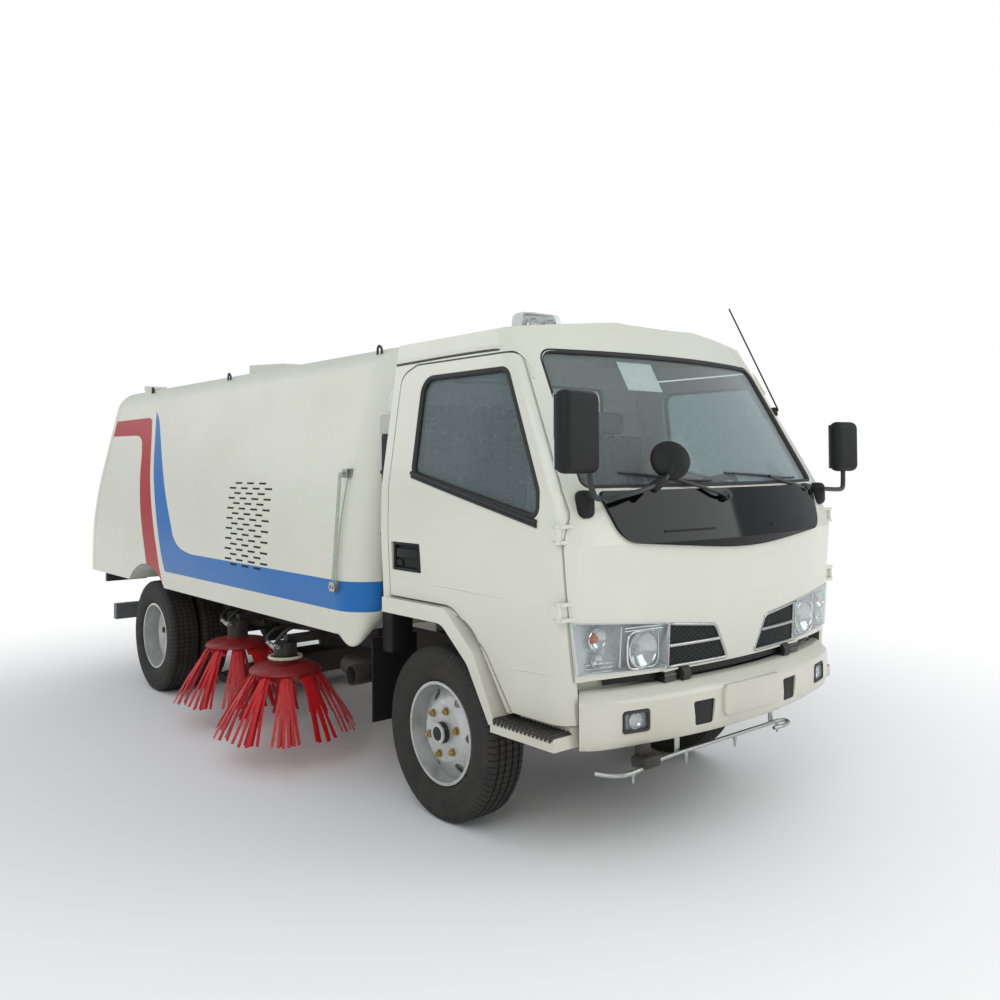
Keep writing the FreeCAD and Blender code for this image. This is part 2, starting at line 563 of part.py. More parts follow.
def cab_sides(name, inset, ahead="0"):
    """The cab's sides and nose, set in by a wall, its nose put ahead, lofted through its height."""
    inset = f"({inset})"
    body = doc.addObject("PartDesign::Body", name)
    sketches = []
    for level in range(len(CAB_SECTION_SHARES)):
        corners, height = cab_section(level, inset, ahead)
        sketches.append(sketched(body, f"{name}_section_{level}", "z", corners, height))
    loft = body.newObject("PartDesign::AdditiveLoft", name + "_loft")
    loft.Profile = sketches[0]
    loft.Sections = sketches[1:]
    loft.Ruled = True
    for sketch in sketches:
        sketch.Visibility = False
    return body


def cab_form(name, inset):
    """The cab's outer form, set in by a wall: its sides under a crowned roof."""
    body = cab_sides(name + "_sides", inset)
    inset = f"({inset})"
    side = f"(cab_wide / 2 - {inset})"
    roof = prism(name + "_roof", "x", [
        (f"-{side}", f"cab_low + {inset} - overrun"), (side, f"cab_low + {inset} - overrun"),
        (side, f"cab_high - 0.055 * {cab_high_step} - {inset}", f"0.09 * {cab_high_step}"),
        ("0", f"cab_high - {inset}", "3 * cab_wide / 2"),
        (f"-{side}", f"cab_high - 0.055 * {cab_high_step} - {inset}", f"0.09 * {cab_high_step}")],
        f"{front_axle} - cab_back - overrun", f"{front_axle} + 1.5 * cab_front")
    profile = prism(name + "_profile", "y", [
        (f"{front_axle} - cab_back + {inset}", f"cab_floor + {inset}"),
        (f"{front_axle} + 0.32 * cab_front", f"cab_floor + {inset}", "0.2 * cab_front"),
        (f"{front_axle} + footwell_back + {inset}", f"cab_low + {inset}"),
        (f"{front_axle} + well_front - {inset}", f"cab_low + {inset}"),
        (f"{front_axle} + well_front - {inset}", f"cab_chin + {inset}"),
        (f"{front_axle} + 1.5 * cab_front", f"cab_chin + {inset}"),
        (f"{front_axle} + 1.5 * cab_front", f"cab_low + 0.75 * {cab_high_step}"),
        (f"{front_axle} + 0.50 * cab_front", f"cab_high - {inset}", f"0.12 * {cab_high_step}"),
        (f"{front_axle} - cab_back + {inset}", f"cab_high - {inset}",
         f"0.06 * {cab_high_step}")],
        "-cab_wide / 2 - overrun", "cab_wide / 2 + overrun")
    return common(name, [body, roof, profile])


tunnel = prism("engine_tunnel", "y", [
    (f"{front_axle} - cab_back - overrun", "cab_low - overrun"),
    (f"{front_axle} - cab_back - overrun", "tunnel_high"),
    (f"{front_axle} + tunnel_front", "tunnel_high"), (f"{front_axle} + tunnel_front", "toe_high"),
    (f"{front_axle} + well_front", "toe_high"), (f"{front_axle} + well_front", "cab_low - overrun")],
    "-tunnel_width / 2", "tunnel_width / 2")
tunnel_cover = prism("engine_tunnel_cover", "y", [
    (f"{front_axle} - cab_back - overrun", "cab_low - overrun"),
    (f"{front_axle} - cab_back - overrun", "tunnel_high + cab_wall"),
    (f"{front_axle} + tunnel_front + cab_wall", "tunnel_high + cab_wall"),
    (f"{front_axle} + tunnel_front + cab_wall", "toe_high + cab_wall"),
    (f"{front_axle} + well_front + cab_wall", "toe_high + cab_wall"),
    (f"{front_axle} + well_front + cab_wall", "cab_low - overrun")],
    "-tunnel_width / 2 - cab_wall", "tunnel_width / 2 + cab_wall")
cab_outer = cab_form("cab_outer", "0")
cab_inner = cut("cab_room", cab_form("cab_inner", "cab_wall"), tunnel_cover)
cab_walls = cut("cab_walls", cab_outer, cab_inner, tunnel)

# Door outline seen from the side: straight front, arched over the wheel, leaning pillar.
DOOR_SHARES = ((0.0, 0.265), (0.0, 0.97, 0.05), (0.10, 1.0, 0.06), (0.697, 1.0, 0.04),
               (0.968, 0.611, 0.25), (1.0, 0.545, 0.1), (1.0, 0.0), (0.735, 0.0),
               (0.60, 0.155, 0.10), (0.41, 0.265, 0.10))
WINDOW_SHARES = ((0.155, 0.655, 0.03), (0.155, 0.955, 0.05), (0.666, 0.955, 0.04),
                 (0.90, 0.61, 0.03), (0.90, 0.535, 0.03))


def door_outline(shares, gap):
    x = (f"{front_axle} - door_back - {gap}", f"door_front + door_back + 2 * {gap}")
    z = (f"door_low - {gap}", f"door_high - door_low + 2 * {gap}")
    return shared(shares, x, z)


# The hole stands further off the arched edge, where the leaf's inner edge swings back.
HOLE_SHARES = ((0.0, 0.2617), *DOOR_SHARES[1:7], (0.7244, 0.0), (0.5947, 0.1532, 0.10),
               (0.408, 0.2617, 0.10))
door_hole = cut("door_hole", prism("door_hole_outline", "y", door_outline(
    HOLE_SHARES, "shut_gap"), "cab_wide / 4", "cab_wide"), cab_sides(
        "door_hole_floor", "cab_wall + shut_gap"))
door_plug = prism("door_plug", "y", door_outline(DOOR_SHARES, "0"), "cab_wide / 4", "cab_wide")
side_window = prism("side_window", "y", door_outline(WINDOW_SHARES, "0"),
                    "cab_wide / 4", "cab_wide")

# Windscreen and rear window openings, cut square to the cab's length.
SCREEN_SHARES = ((-0.85, 0.0, 0.05), (0.85, 0.0, 0.05), (0.78, 1.0, 0.11), (-0.78, 1.0, 0.11))
screen_hole = prism("screen_hole", "x", shared(
    SCREEN_SHARES, ("0", "cab_wide / 2"), (f"cab_low + 0.545 * {cab_high_step}",
                                           f"0.345 * {cab_high_step}")),
    f"{front_axle} + 0.2 * cab_front", f"{front_axle} + 1.5 * cab_front")
BACK_LIGHT_SHARES = ((-0.62, 0.0, 0.12), (0.62, 0.0, 0.12), (0.60, 1.0, 0.12), (-0.60, 1.0, 0.12))
back_hole = prism("back_light_hole", "x", shared(
    BACK_LIGHT_SHARES, ("0", "cab_wide / 2"), (f"cab_low + 0.58 * {cab_high_step}",
                                               f"0.28 * {cab_high_step}")),
    f"{front_axle} - cab_back - overrun", f"{front_axle} - cab_back + 2 * cab_wall")

# Headlamp and grille openings in the cab's nose, seen from the front.
LAMP_SHARES = ((0.0, 0.0, 0.06), (1.0, 0.07, 0.06), (1.0, 1.0, 0.06), (0.0, 0.84, 0.06))
GRILLE_SHARES = ((1.0, 0.0), (1.0, 1.0), (0.24, 0.84, 0.25), (0.0, 0.0, 0.05))


def lamp_outline(gap):
    return shared(LAMP_SHARES, (f"lamp_inner_y - {gap}", f"lamp_width + 2 * {gap}"),
                  (f"lamp_low - {gap}", f"lamp_height + 2 * {gap}"))


def grille_outline(gap):
    return shared(GRILLE_SHARES, (f"lamp_inner_y - grille_length - lamp_gap - {gap}",
                                  f"grille_length + 2 * {gap}"),
                  (f"lamp_low - {gap}", f"grille_height + 2 * {gap}"))


nose_back = f"{front_axle} + 0.8 * cab_front"
nose_ahead = f"{front_axle} + 1.5 * cab_front"
lamp_back = f"({front_axle} + door_front + 2 * shut_gap)"
lamp_hole = prism("lamp_hole", "x", lamp_outline("run_gap"), lamp_back, nose_ahead)
grille_hole = prism("grille_hole", "x", grille_outline("run_gap"), nose_back, nose_ahead)
hinge_lugs = []
for side, way in (("left", "1"), ("right", "-1")):
    pin_end = f"({rail_out} + 2 * hinge_ear_width)"
    low = f"{rail_out} + move_gap" if way == "1" else f"-{pin_end}"
    high = pin_end if way == "1" else f"-{rail_out} - move_gap"
    start = f"{rail_out} - hinge_ear_width" if way == "1" else f"-{pin_end}"
    lug = prism(f"{side}_hinge_lug", "y", [
        (f"{hinge_x} - hinge_ear_radius", "cab_hinge_z - 0.6 * hinge_ear_radius"),
        (f"{hinge_x} + 0.3 * hinge_ear_radius", "cab_hinge_z - 0.6 * hinge_ear_radius"),
        (f"{hinge_x} + 0.3 * hinge_ear_radius", "cab_chin + plate"),
        (f"{hinge_x} - 3 * hinge_ear_radius", "cab_chin + plate"),
        (f"{hinge_x} - 3 * hinge_ear_radius", "cab_chin - plate")], low, high)
    hinge_lugs.append(lug)
    hinge_lugs.append(rod(f"{side}_hinge_pin", "y", hinge_x, start, "cab_hinge_z",
                          "cab_hinge_radius", f"3 * hinge_ear_width"))
ear_side = f"({rail_out} - hinge_ear_width - move_gap)"
cab_notch = rod("cab_hinge_notch", "y", hinge_x, ear_side, "cab_hinge_z",
                "hinge_ear_radius + move_gap", "hinge_ear_width + 2 * move_gap")
bumper_notch = rod("bumper_hinge_notch", "y", hinge_x, ear_side, "cab_hinge_z",
                   "hinge_ear_radius + 2 * move_gap", "3 * hinge_ear_width + 2 * move_gap")
cab_panels = cut("cab_panels", cab_walls, door_hole, mirrored("door_hole_other", door_hole),
                 cab_notch, mirrored("cab_hinge_notch_other", cab_notch),
                 screen_hole, back_hole, lamp_hole, mirrored("lamp_hole_other", lamp_hole),
                 grille_hole, mirrored("grille_hole_other", grille_hole))

# Door hinges: a barrel on the door between two ears on the pillar, round one upright axis.
door_axis_x = f"({front_axle} + door_front + shut_gap / 2)"
DOOR_HINGE_SHARES = (("low", 0.30), ("high", 0.50))
door_ears, door_barrels, pin_holes = [], [], []
for level, share in DOOR_HINGE_SHARES:
    middle = f"(door_low + {share} * (door_high - door_low))"
    for part, low in (("foot", f"{middle} - door_barrel / 2 - run_gap - door_ear"),
                      ("head", f"{middle} + door_barrel / 2 + run_gap")):
        door_ears.append(rod(f"door_ear_{level}_{part}", "z", door_axis_x, "door_axis_y", low,
                             "door_hinge_radius", "door_ear"))
        door_ears.append(block(f"door_arm_{level}_{part}", (
            f"{door_axis_x} + shut_gap / 2", f"{door_axis_x} + shut_gap / 2 + door_arm"),
            ("door_axis_y - door_arm_reach", "door_axis_y"), (low, f"{low} + door_ear")))
    door_ears.append(rod(f"door_pin_{level}", "z", door_axis_x, "door_axis_y",
                         f"{middle} - door_barrel / 2 - door_ear / 2", "door_pin",
                         "door_barrel + door_ear"))
    door_barrels.append(rod(f"door_barrel_{level}", "z", door_axis_x, "door_axis_y",
                            f"{middle} - door_barrel / 2", "door_hinge_radius", "door_barrel"))
    door_barrels.append(block(f"door_strap_{level}", (
        f"{door_axis_x} - door_strap", door_axis_x), ("door_axis_y - door_strap_reach",
                                                      "door_axis_y"),
        (f"{middle} - door_barrel / 2", f"{middle} + door_barrel / 2")))
    pin_holes.append(rod(f"door_pin_hole_{level}", "z", door_axis_x, "door_axis_y",
                         f"{middle} - door_barrel", "door_pin + run_gap", "2 * door_barrel"))
left_ears = fuse("left_door_ears", door_ears)
node("cab_shell", fuse("cab_shell_whole", [cab_panels, *hinge_lugs, left_ears,
                                           mirrored("right_door_ears", left_ears)]))

# Doors: the same wall as the cab's sides, with the window and the handle's recess cut out.
# The leaf's inner face runs on past the nose's wall, so that its front edge swings free.
door_skin = common("door_skin", [cut("door_wall", cab_outer, cab_sides(
    "door_room", "cab_wall", "cab_wall")), door_plug])
handle_x = f"({front_axle} - door_back + overrun)"
door_y = "(cab_wide / 2)"
recess = block("handle_recess", (handle_x, f"{handle_x} + handle_length"),
               (f"{door_y} - handle_depth", f"{door_y} + overrun"),
               ("handle_z", "handle_z + handle_height"))
left_door = cut("door_panel", fuse("door_solid", [door_skin, *door_barrels]), side_window, recess,
                *pin_holes)
node("door_right", mirrored("door_panel_other", left_door))
node("door_left", left_door)

# Glass: thin curved panes that follow the cab's form just inside its skin.
glass_out = cab_form("glass_out", "glass_inset")
glass_in = cab_form("glass_in", "glass_inset + glass_wall")


def pane(name, opening):
    return cut(name, common(name + "_solid", [glass_out, opening]), glass_in)


left_glass = pane("door_pane", side_window)
node("door_glass_right", mirrored("door_pane_other", left_glass))
node("door_glass_left", left_glass)
node("windscreen", pane("windscreen_pane", screen_hole))
node("rear_window", pane("rear_window_pane", back_hole))


def pair_of(name, piece):
    """A piece and its mirror image, as two solids of one node."""
    both = doc.addObject("Part::Compound", name)
    both.Links = [piece, mirrored(name + "_other", piece)]
    return both


# Gloss black panel under the windscreen, on the cab's skin.
cab_clear = cab_form("cab_clear", "-run_gap")
PANEL_SHARES = ((-1.0, 1.0, 0.1), (-0.91, 0.12, 0.45), (0.0, -0.12, 12.0), (0.91, 0.12, 0.45),
                (1.0, 1.0, 0.1))
panel_face = prism("panel_face", "x", shared(
    PANEL_SHARES, ("0", "panel_width / 2"), ("panel_low", "panel_height")), nose_back, nose_ahead)
node("front_panel", common("front_panel_shape", [
    cut("panel_shell", cab_form("panel_out", "-panel_proud"), cab_clear), panel_face]))

# Headlamps and grilles fill their openings in the nose.
lamp_shell = cut("lamp_shell", cab_form("lamp_out", "-lamp_proud"), cab_inner)
node("headlamps", pair_of("lamp_pair", common("headlamp", [lamp_shell, prism(
    "lamp_face", "x", lamp_outline("0"), f"{lamp_back} + run_gap", nose_ahead)])))
grille_solid = common("grille_solid", [
    cut("grille_shell", cab_form("grille_out", "grille_inset"), cab_inner),
    prism("grille_face", "x", grille_outline("0"), nose_back, nose_ahead)])
node("grilles", pair_of("grille_pair", grille_solid))

# Bumper: a bowed steel pressing, open behind, with openings for the fog lamps and two vents.
bumper_front = "(total_length / 2)"
bumper_side = "(bumper_wide / 2)"
bumper_back_x = f"({front_axle} + bumper_back)"
bumper_root_x = f"({front_axle} + bumper_root)"


def bumper_plan(inset):
    """The bumper's plan, set in by a wall and drawn back past its ends."""
    inset = f"({inset})"
    return nose(f"({bumper_front} - {inset})", f"({bumper_side} - {inset})", bumper_root_x,
                "bumper_bow", f"bumper_corner - {inset} / 2")


bumper_outer = prism("bumper_outer", "z", bumper_plan("0"), "bumper_low", "bumper_high")
bumper_room = prism("bumper_room", "z", bumper_plan("bumper_wall"), "bumper_low + bumper_wall",
                    "bumper_high - bumper_wall")
bumper_well = prism("bumper_well", "z", bumper_plan("bumper_lip"), "bumper_low - overrun",
                    "bumper_high + overrun")
bumper_ends = block("bumper_ends", (f"{bumper_root_x} - overrun", bumper_back_x),
                    ("-bumper_wide", "bumper_wide"), ("bumper_low - overrun",
                                                      "bumper_high + overrun"))
FOG_SHARES = ((-0.5, -0.5, 0.15), (0.5, -0.5, 0.15), (0.5, 0.5, 0.15), (-0.5, 0.5, 0.15))


def fog_hole(name, y, gap):
    return prism(name, "x", shared(FOG_SHARES, (y, f"fog_width + {gap}"),
                                   ("fog_z", f"fog_height + {gap}")),
                 bumper_back_x, f"{bumper_front} + overrun")


fog_holes = [fog_hole("fog_hole", "fog_y", "2 * run_gap"), fog_hole("vent_hole", "vent_y", "0")]
node("bumper", cut("bumper_shell", bumper_outer, bumper_room, bumper_well, bumper_ends, *fog_holes,
                   bumper_notch, mirrored("bumper_hinge_notch_other", bumper_notch),
                   *[mirrored(f"bumper_hole_other_{i}", h) for i, h in enumerate(fog_holes)]))
fog_body = common("fog_lamp", [fog_hole("fog_shape", "fog_y", "0"), cut(
    "fog_band", prism("fog_out", "z", bumper_plan("fog_inset"), "bumper_low", "bumper_high"),
    prism("fog_in", "z", bumper_plan("fog_inset + fog_depth"), "bumper_low", "bumper_high"))])

# The frame's brackets reach the bumper's inner face from outside the rails.
bumper_inside = prism("bumper_inside", "z", bumper_plan("bumper_wall + run_gap"), "bumper_low",
                      "bumper_high")
for side, low, high in (("left", f"{rail_out} - plate", f"{rail_out} + bracket_depth"),
                        ("right", f"-{rail_out} - bracket_depth", f"-{rail_out} + plate")):
    members.append(common(f"{side}_bumper_bracket", [bumper_inside, block(
        f"{side}_bracket_bar", (f"{rail_front} - bracket_back", bumper_front), (low, high),
        ("bracket_low", "bracket_high"))]))
node("chassis_frame", fuse("ladder_frame", members))

# Wheel flares and the steps under the doors.
FLARE_OUT_SHARES = ((0.0, 1.0), (0.586, 1.0, 0.22), (0.827, 0.647, 0.22), (1.0, 0.06))
FLARE_IN_SHARES = ((0.945, 0.06), (0.776, 0.535, 0.22), (0.557, 0.85, 0.22), (0.0, 0.85))
flare_band = prism("flare_band", "y", shared(
    FLARE_OUT_SHARES + FLARE_IN_SHARES,
    (f"{front_axle} - door_back - flare_wall", "step_back + door_back + 2 * flare_wall + shut_gap"),
    ("step_low", "door_arch_high - step_low - shut_gap")), "flare_out - flare_depth", "flare_out")
step = fuse("step", [
    block("step_board", (f"{front_axle} + step_back", f"{front_axle} + step_front"),
          ("flare_out - step_depth", "flare_out"), ("step_low", "step_top")),
    block("step_hanger", (f"{front_axle} + footwell_back + flare_wall",
                          f"{front_axle} + step_front"),
          ("flare_out - step_depth", "flare_out - flare_depth"),
          ("step_low", "cab_low - run_gap"))])
node("wheel_flares", pair_of("flare_pair", cut(
    "flare", fuse("flare_solid", [flare_band, step]), cab_clear)))

# Cab equipment: mirrors, wipers, beacon, aerial, seats, dashboard and steering wheel.
MIRROR_SHARES = ((-0.5, -0.5, 0.12), (0.5, -0.5, 0.12), (0.5, 0.5, 0.12), (-0.5, 0.5, 0.12))
mirror_x = f"({front_axle} + mirror_x)"
mirror_y = "(mirror_out - mirror_width / 2)"
base = (f"{front_axle} + mirror_base_x", "mirror_base_y", "mirror_base_z")
mirror_parts = [
    prism("mirror_head", "x", shared(MIRROR_SHARES, (mirror_y, "mirror_width"),
                                     ("mirror_z", "mirror_height")),
          f"{mirror_x} - mirror_wall / 2", f"{mirror_x} + mirror_wall / 2"),
    strut("mirror_arm", base, (mirror_x, mirror_y, "mirror_z - mirror_height / 2 + overrun"),
          "mirror_arm_radius"),
    strut("mirror_root", base, (f"{front_axle} + mirror_base_x - 5 * mirror_arm_radius",
                                "mirror_base_y - 5 * mirror_arm_radius", "mirror_base_z"),
          "1.6 * mirror_arm_radius")]
node("mirrors", pair_of("mirror_pair", cut("mirror", fuse("mirror_solid", mirror_parts),
                                           cab_clear)))
wiper_pieces = []
for side, start, end in (("right", "-0.34", "-0.02"), ("left", "0.06", "0.38")):
    pivot = (f"{front_axle} + 1.0 * cab_front", f"{start} * cab_wide", "wiper_z - 3 * wiper_radius")
    reach = (f"{front_axle} + 0.985 * cab_front", f"{end} * cab_wide", "wiper_z + wiper_rise")
    wiper_pieces.append(strut(f"{side}_wiper_arm", pivot, reach, "wiper_radius"))
    wiper_pieces.append(strut(f"{side}_wiper_root", pivot, (
        f"{front_axle} + 0.9 * cab_front", f"{start} * cab_wide", "wiper_z - 3 * wiper_radius"),
        "2 * wiper_radius"))
node("wipers", cut("wipers_shape", fuse("wipers_solid", wiper_pieces),
                   cab_form("panel_clear", "-panel_proud - run_gap")))
BEACON_SHARES = ((0.0, 0.0), (1.0, 0.0), (0.80, 1.0, 0.15), (0.10, 1.0, 0.15))
node("beacon", cut("beacon_shape", prism("beacon_solid", "y", shared(
    BEACON_SHARES, (f"{front_axle} - beacon_x", "beacon_length"),
    ("cab_high - overrun", "beacon_high - cab_high + overrun")),
    "-beacon_width / 2", "beacon_width / 2"), cab_clear))
aerial_foot = (f"{front_axle} + aerial_x", "aerial_y", "aerial_low")
node("antenna", cut("antenna_shape", fuse("antenna_solid", [
    strut("aerial_rod", aerial_foot, (f"{front_axle} + aerial_x - aerial_lean", "aerial_y",
                                      "aerial_high"), "antenna_radius"),
    strut("aerial_base", aerial_foot, (f"{front_axle} + aerial_x - 8 * antenna_radius",
                                       "aerial_y - 8 * antenna_radius",
                                       "aerial_low - 8 * antenna_radius"),
          "2 * antenna_radius")]), cab_clear))
seat_low = "(tunnel_high + cab_wall + run_gap)"
seat_back_x = f"({front_axle} - cab_back + cab_wall + overrun)"
seat_parts = []
for name, middle, wide in (("driver", "seat_y", "seat_width"), ("bench", "-seat_y", "bench_width")):
    sides = (f"{middle} - {wide} / 2", f"{middle} + {wide} / 2")
    seat_parts.append(prism(f"{name}_seat", "y", [
        (seat_back_x, seat_low), (f"{seat_back_x} + seat_length", seat_low),
        (f"{seat_back_x} + seat_length", "seat_high", "seat_wall / 3"),
        (f"{seat_back_x} + seat_wall * 1.2", "seat_high"),
        (f"{seat_back_x} + seat_wall", "backrest_high", "seat_wall / 3"),
        (seat_back_x, "backrest_high", "seat_wall / 3")], *sides))
node("seats", fuse("seat_pair", seat_parts))
wheel_hub = (f"{front_axle} + wheel_ring_x", "seat_y", "wheel_ring_z")
column_foot = (f"{wheel_hub[0]} + column_run", "seat_y", "wheel_ring_z - column_drop")
dash_back = f"({front_axle} + dash_x)"
DASH_HALF_SHARE = 0.8
dash_side = f"({DASH_HALF_SHARE} * cab_wide / 2)"
node("dashboard", cut("dashboard_shape", common("dash_body", [
    cab_form("dash_fit", "cab_wall + run_gap"), prism("dash_block", "y", [
    (dash_back, "dash_low"), (f"{front_axle} + 1.5 * cab_front", "dash_low"),
    (f"{front_axle} + 1.5 * cab_front", "dash_high"),
    (f"{dash_back} + dash_depth / 2", "dash_high", "dash_depth / 6"),
    (dash_back, "dash_high - dash_depth / 2", "dash_depth / 8")],
    f"-{dash_side}", dash_side)]), strut("column_room", wheel_hub, column_foot,
                                         "column_radius + run_gap")))
RING_SHARES = ((-1.0, 0.5), (-1.0, -0.5), (0.0, -1.0), (1.0, -0.5), (1.0, 0.5), (0.0, 1.0))
ring = turned("steering_ring", [(f"{u} * wheel_ring_wall", f"wheel_ring_radius + {v} * wheel_ring_wall")
                                for u, v in RING_SHARES], "z")
tilt = math.degrees(math.atan2(mm("column_run"), mm("column_drop")))
ring.Placement = Placement(Vector(), Rotation(Vector(0, 1, 0), -tilt))
place(ring, *wheel_hub)
spokes = [strut(f"spoke_{side}", wheel_hub, (wheel_hub[0], f"seat_y {way} wheel_ring_radius",
                                             wheel_hub[2]), "wheel_ring_wall")
          for side, way in (("right", "-"), ("left", "+"))]
node("steering_wheel", fuse("steering_wheel_solid", [ring, *spokes, strut(
    "steering_column", wheel_hub, column_foot, "column_radius")]))

# Sweeper body: a closed steel shell with leaning sides and a rounded nose, hollow inside.
BOX_SECTION_SHARES = ((-1.0, 0.0), (1.0, 0.0), (1.0, 0.312, 2.0), (0.765, 0.985, 0.135),
                      (0.0, 1.0, 2.4), (-0.765, 0.985, 0.135), (-1.0, 0.312, 2.0))
box_nose = f"({front_axle} - box_front)"
box_tail = f"({tail} + gate_wall + box_gap)"


def box_section(inset):
    return shared(BOX_SECTION_SHARES, ("0", f"box_wide / 2 - {inset}"),
                  (f"box_low + {inset}", f"box_high - box_low - 2 * {inset}"))


box_solid = prism("box_solid", "x", box_section("0"), box_tail, box_nose)
doc.recompute()
nose_edges = [i for i, e in enumerate(box_solid.Shape.Edges, start=1)
              if abs(e.BoundBox.XMin - mm(box_nose)) < mm("run_gap")
              and abs(e.BoundBox.XMax - mm(box_nose)) < mm("run_gap")]
box_outer = doc.addObject("Part::Fillet", "box_outer")
box_outer.Base = box_solid
box_outer.Edges = [(i, mm("box_nose_radius"), mm("box_nose_radius")) for i in nose_edges]
hopper = prism("hopper_room", "x", box_section("box_wall"), f"{box_tail} - overrun",
               f"{front_axle} - bulkhead_x")
front_room = prism("front_room", "x", box_section("box_wall"),
                   f"{front_axle} - bulkhead_x + box_wall", f"{box_nose} - box_nose_radius")


def arch(name, radius, inner_y):
    return rod(name, "y", rear_axle, inner_y, "tyre_radius", radius, "box_wide")


tub = arch("wheel_tub", "box_arch_radius + box_wall", "tub_inner - box_wall")
well = arch("wheel_well", "box_arch_radius", "tub_inner")
box_shell = cut("box_walls", box_outer, cut("hopper_space", hopper, tub,
                                            mirrored("wheel_tub_other", tub)),
                front_room, well, mirrored("wheel_well_other", well))
duct_x = f"({front_axle} - mouth_x)"
duct_hole = rod("duct_hole", "z", duct_x, "duct_y", "box_low - overrun",
                "duct_radius + duct_wall + 2 * run_gap", "4 * box_wall")
gate_z = "(box_high + gate_hinge_lift)"
gate_x = f"({tail} + gate_wall + box_gap / 2)"
ears, barrels = [], []
for i, share in enumerate((-0.5, 0.5)):
    middle = f"{share} * box_wide / 2"
    barrels.append(rod(f"gate_barrel_{i}", "y", gate_x, f"{middle} - gate_barrel / 2", gate_z,
                       "gate_pin + gate_barrel_wall", "gate_barrel"))
    barrels.append(prism(f"gate_strap_{i}", "y", [
        (f"{tail} + gate_wall / 3", f"box_high - 2 * gate_hinge_lift"),
        (f"{tail} + gate_wall", f"box_high - 2 * gate_hinge_lift"),
        (gate_x, f"{gate_z} - gate_pin - gate_strap_wall"),
        (gate_x, f"{gate_z} + gate_pin + gate_strap_wall"),
        (f"{tail} + gate_wall / 3", gate_z)],
        f"{middle} - gate_barrel / 2", f"{middle} + gate_barrel / 2"))
    ears.append(rod(f"gate_pin_{i}", "y", gate_x, f"{middle} - gate_barrel", gate_z, "gate_pin",
                    "2 * gate_barrel"))
    for way in ("-1", "1"):
        inner = f"{middle} + {way} * (gate_barrel / 2 + run_gap)"
        outer = f"{middle} + {way} * gate_barrel"
        low, high = (outer, inner) if way == "-1" else (inner, outer)
        ears.append(prism(f"gate_ear_{i}_{'right' if way == '-1' else 'left'}", "y", [
            (f"{gate_x} - gate_pin - gate_barrel_wall",
             f"{gate_z} - gate_pin - gate_barrel_wall"),
            (f"{gate_x} + 4 * gate_pin", f"box_high - gate_hinge_lift"),
            (f"{gate_x} + 6 * gate_pin", f"box_high - gate_hinge_lift"),
            (f"{gate_x}", f"{gate_z} + gate_pin + gate_barrel_wall"),
            (f"{gate_x} - gate_pin - gate_barrel_wall",
             f"{gate_z} + gate_pin + gate_barrel_wall")], low, high))
rail_seat = []
for side, way in (("left", "1"), ("right", "-1")):
    middle = f"{way} * ({rail_out} - rail_flange / 2)"
    rail_seat.append(block(f"{side}_subframe", (f"{box_tail} + box_wall", f"{box_nose} - box_nose_radius"),
                           (f"{middle} - rail_flange / 2", f"{middle} + rail_flange / 2"),
                           (rail_top, "box_low + box_wall / 2")))
node("box_shell", cut("box_shell_whole", fuse("box_shell_solid", [box_shell, *ears, *rail_seat]),
                      duct_hole))
gate_plate = prism("gate_plate", "x", box_section("0"), tail, f"{tail} + gate_wall")
gate_hole = rod("gate_pin_hole", "y", gate_x, "-box_wide", gate_z, "gate_pin + run_gap",
                "2 * box_wide")
node("tailgate", cut("tailgate_shape", fuse("tailgate_solid", [gate_plate, *barrels]), gate_hole))
box_clear = prism("box_clear", "x", box_section("-run_gap"), box_tail, box_nose)
HATCH_SHARES = ((0.0, 0.0), (1.0, 0.0), (0.90, 0.80, 0.1), (0.0, 1.0, 0.1))
node("roof_hatch", cut("roof_hatch_shape", prism("roof_hatch_solid", "y", shared(
    HATCH_SHARES, (f"{front_axle} - hatch_x - hatch_length / 2", "hatch_length"),
    ("box_high - 2 * box_wall", "hatch_high - box_high + 2 * box_wall")),
    "-hatch_width / 2", "hatch_width / 2"), box_clear))
node("auxiliary_engine", block(
    "auxiliary_engine_block",
    (f"{front_axle} - aux_x - aux_length / 2", f"{front_axle} - aux_x + aux_length / 2"),
    ("-aux_width / 2", "aux_width / 2"),
    ("box_low + box_wall + run_gap", "box_low + box_wall + run_gap + aux_height")))
gauge_x = f"({front_axle} - gauge_x)"
gauge_top = (gauge_x, "-(gauge_top_y)", "gauge_high")
gauge_foot = (gauge_x, "-(gauge_foot_y)", "gauge_low")
gauge_parts = [strut("gauge_tube", gauge_foot, gauge_top, "gauge_radius")]
for name, spot in (("top", gauge_top), ("foot", gauge_foot)):
    gauge_parts.append(rod(f"gauge_bracket_{name}", "y", gauge_x, spot[1], spot[2],
                           "1.6 * gauge_radius", "6 * gauge_radius"))
node("level_gauge", cut("level_gauge_shape", fuse("level_gauge_solid", gauge_parts), box_clear))

# Air intake behind the cab, on two brackets from the sweeper body's nose.
intake_x = f"({front_axle} - intake_x)"
INTAKE_BRACKET_SHARES = (0.3, 0.8)
intake_parts = [block("intake_duct", (f"{intake_x} - intake_thick", intake_x),
                      ("-intake_y", "-intake_y + intake_width"), ("intake_low", "intake_high"))]
for i, share in enumerate(INTAKE_BRACKET_SHARES):
    middle = f"(intake_low + {share} * (intake_high - intake_low))"
    intake_parts.append(block(f"intake_bracket_{i}", (
        f"{box_nose} + run_gap", f"{intake_x} - intake_thick / 2"),
        ("-intake_y + intake_width - intake_bracket", "-intake_y + intake_width"),
        (f"{middle} - plate / 2", f"{middle} + plate / 2")))
node("air_intake", fuse("air_intake_solid", intake_parts))

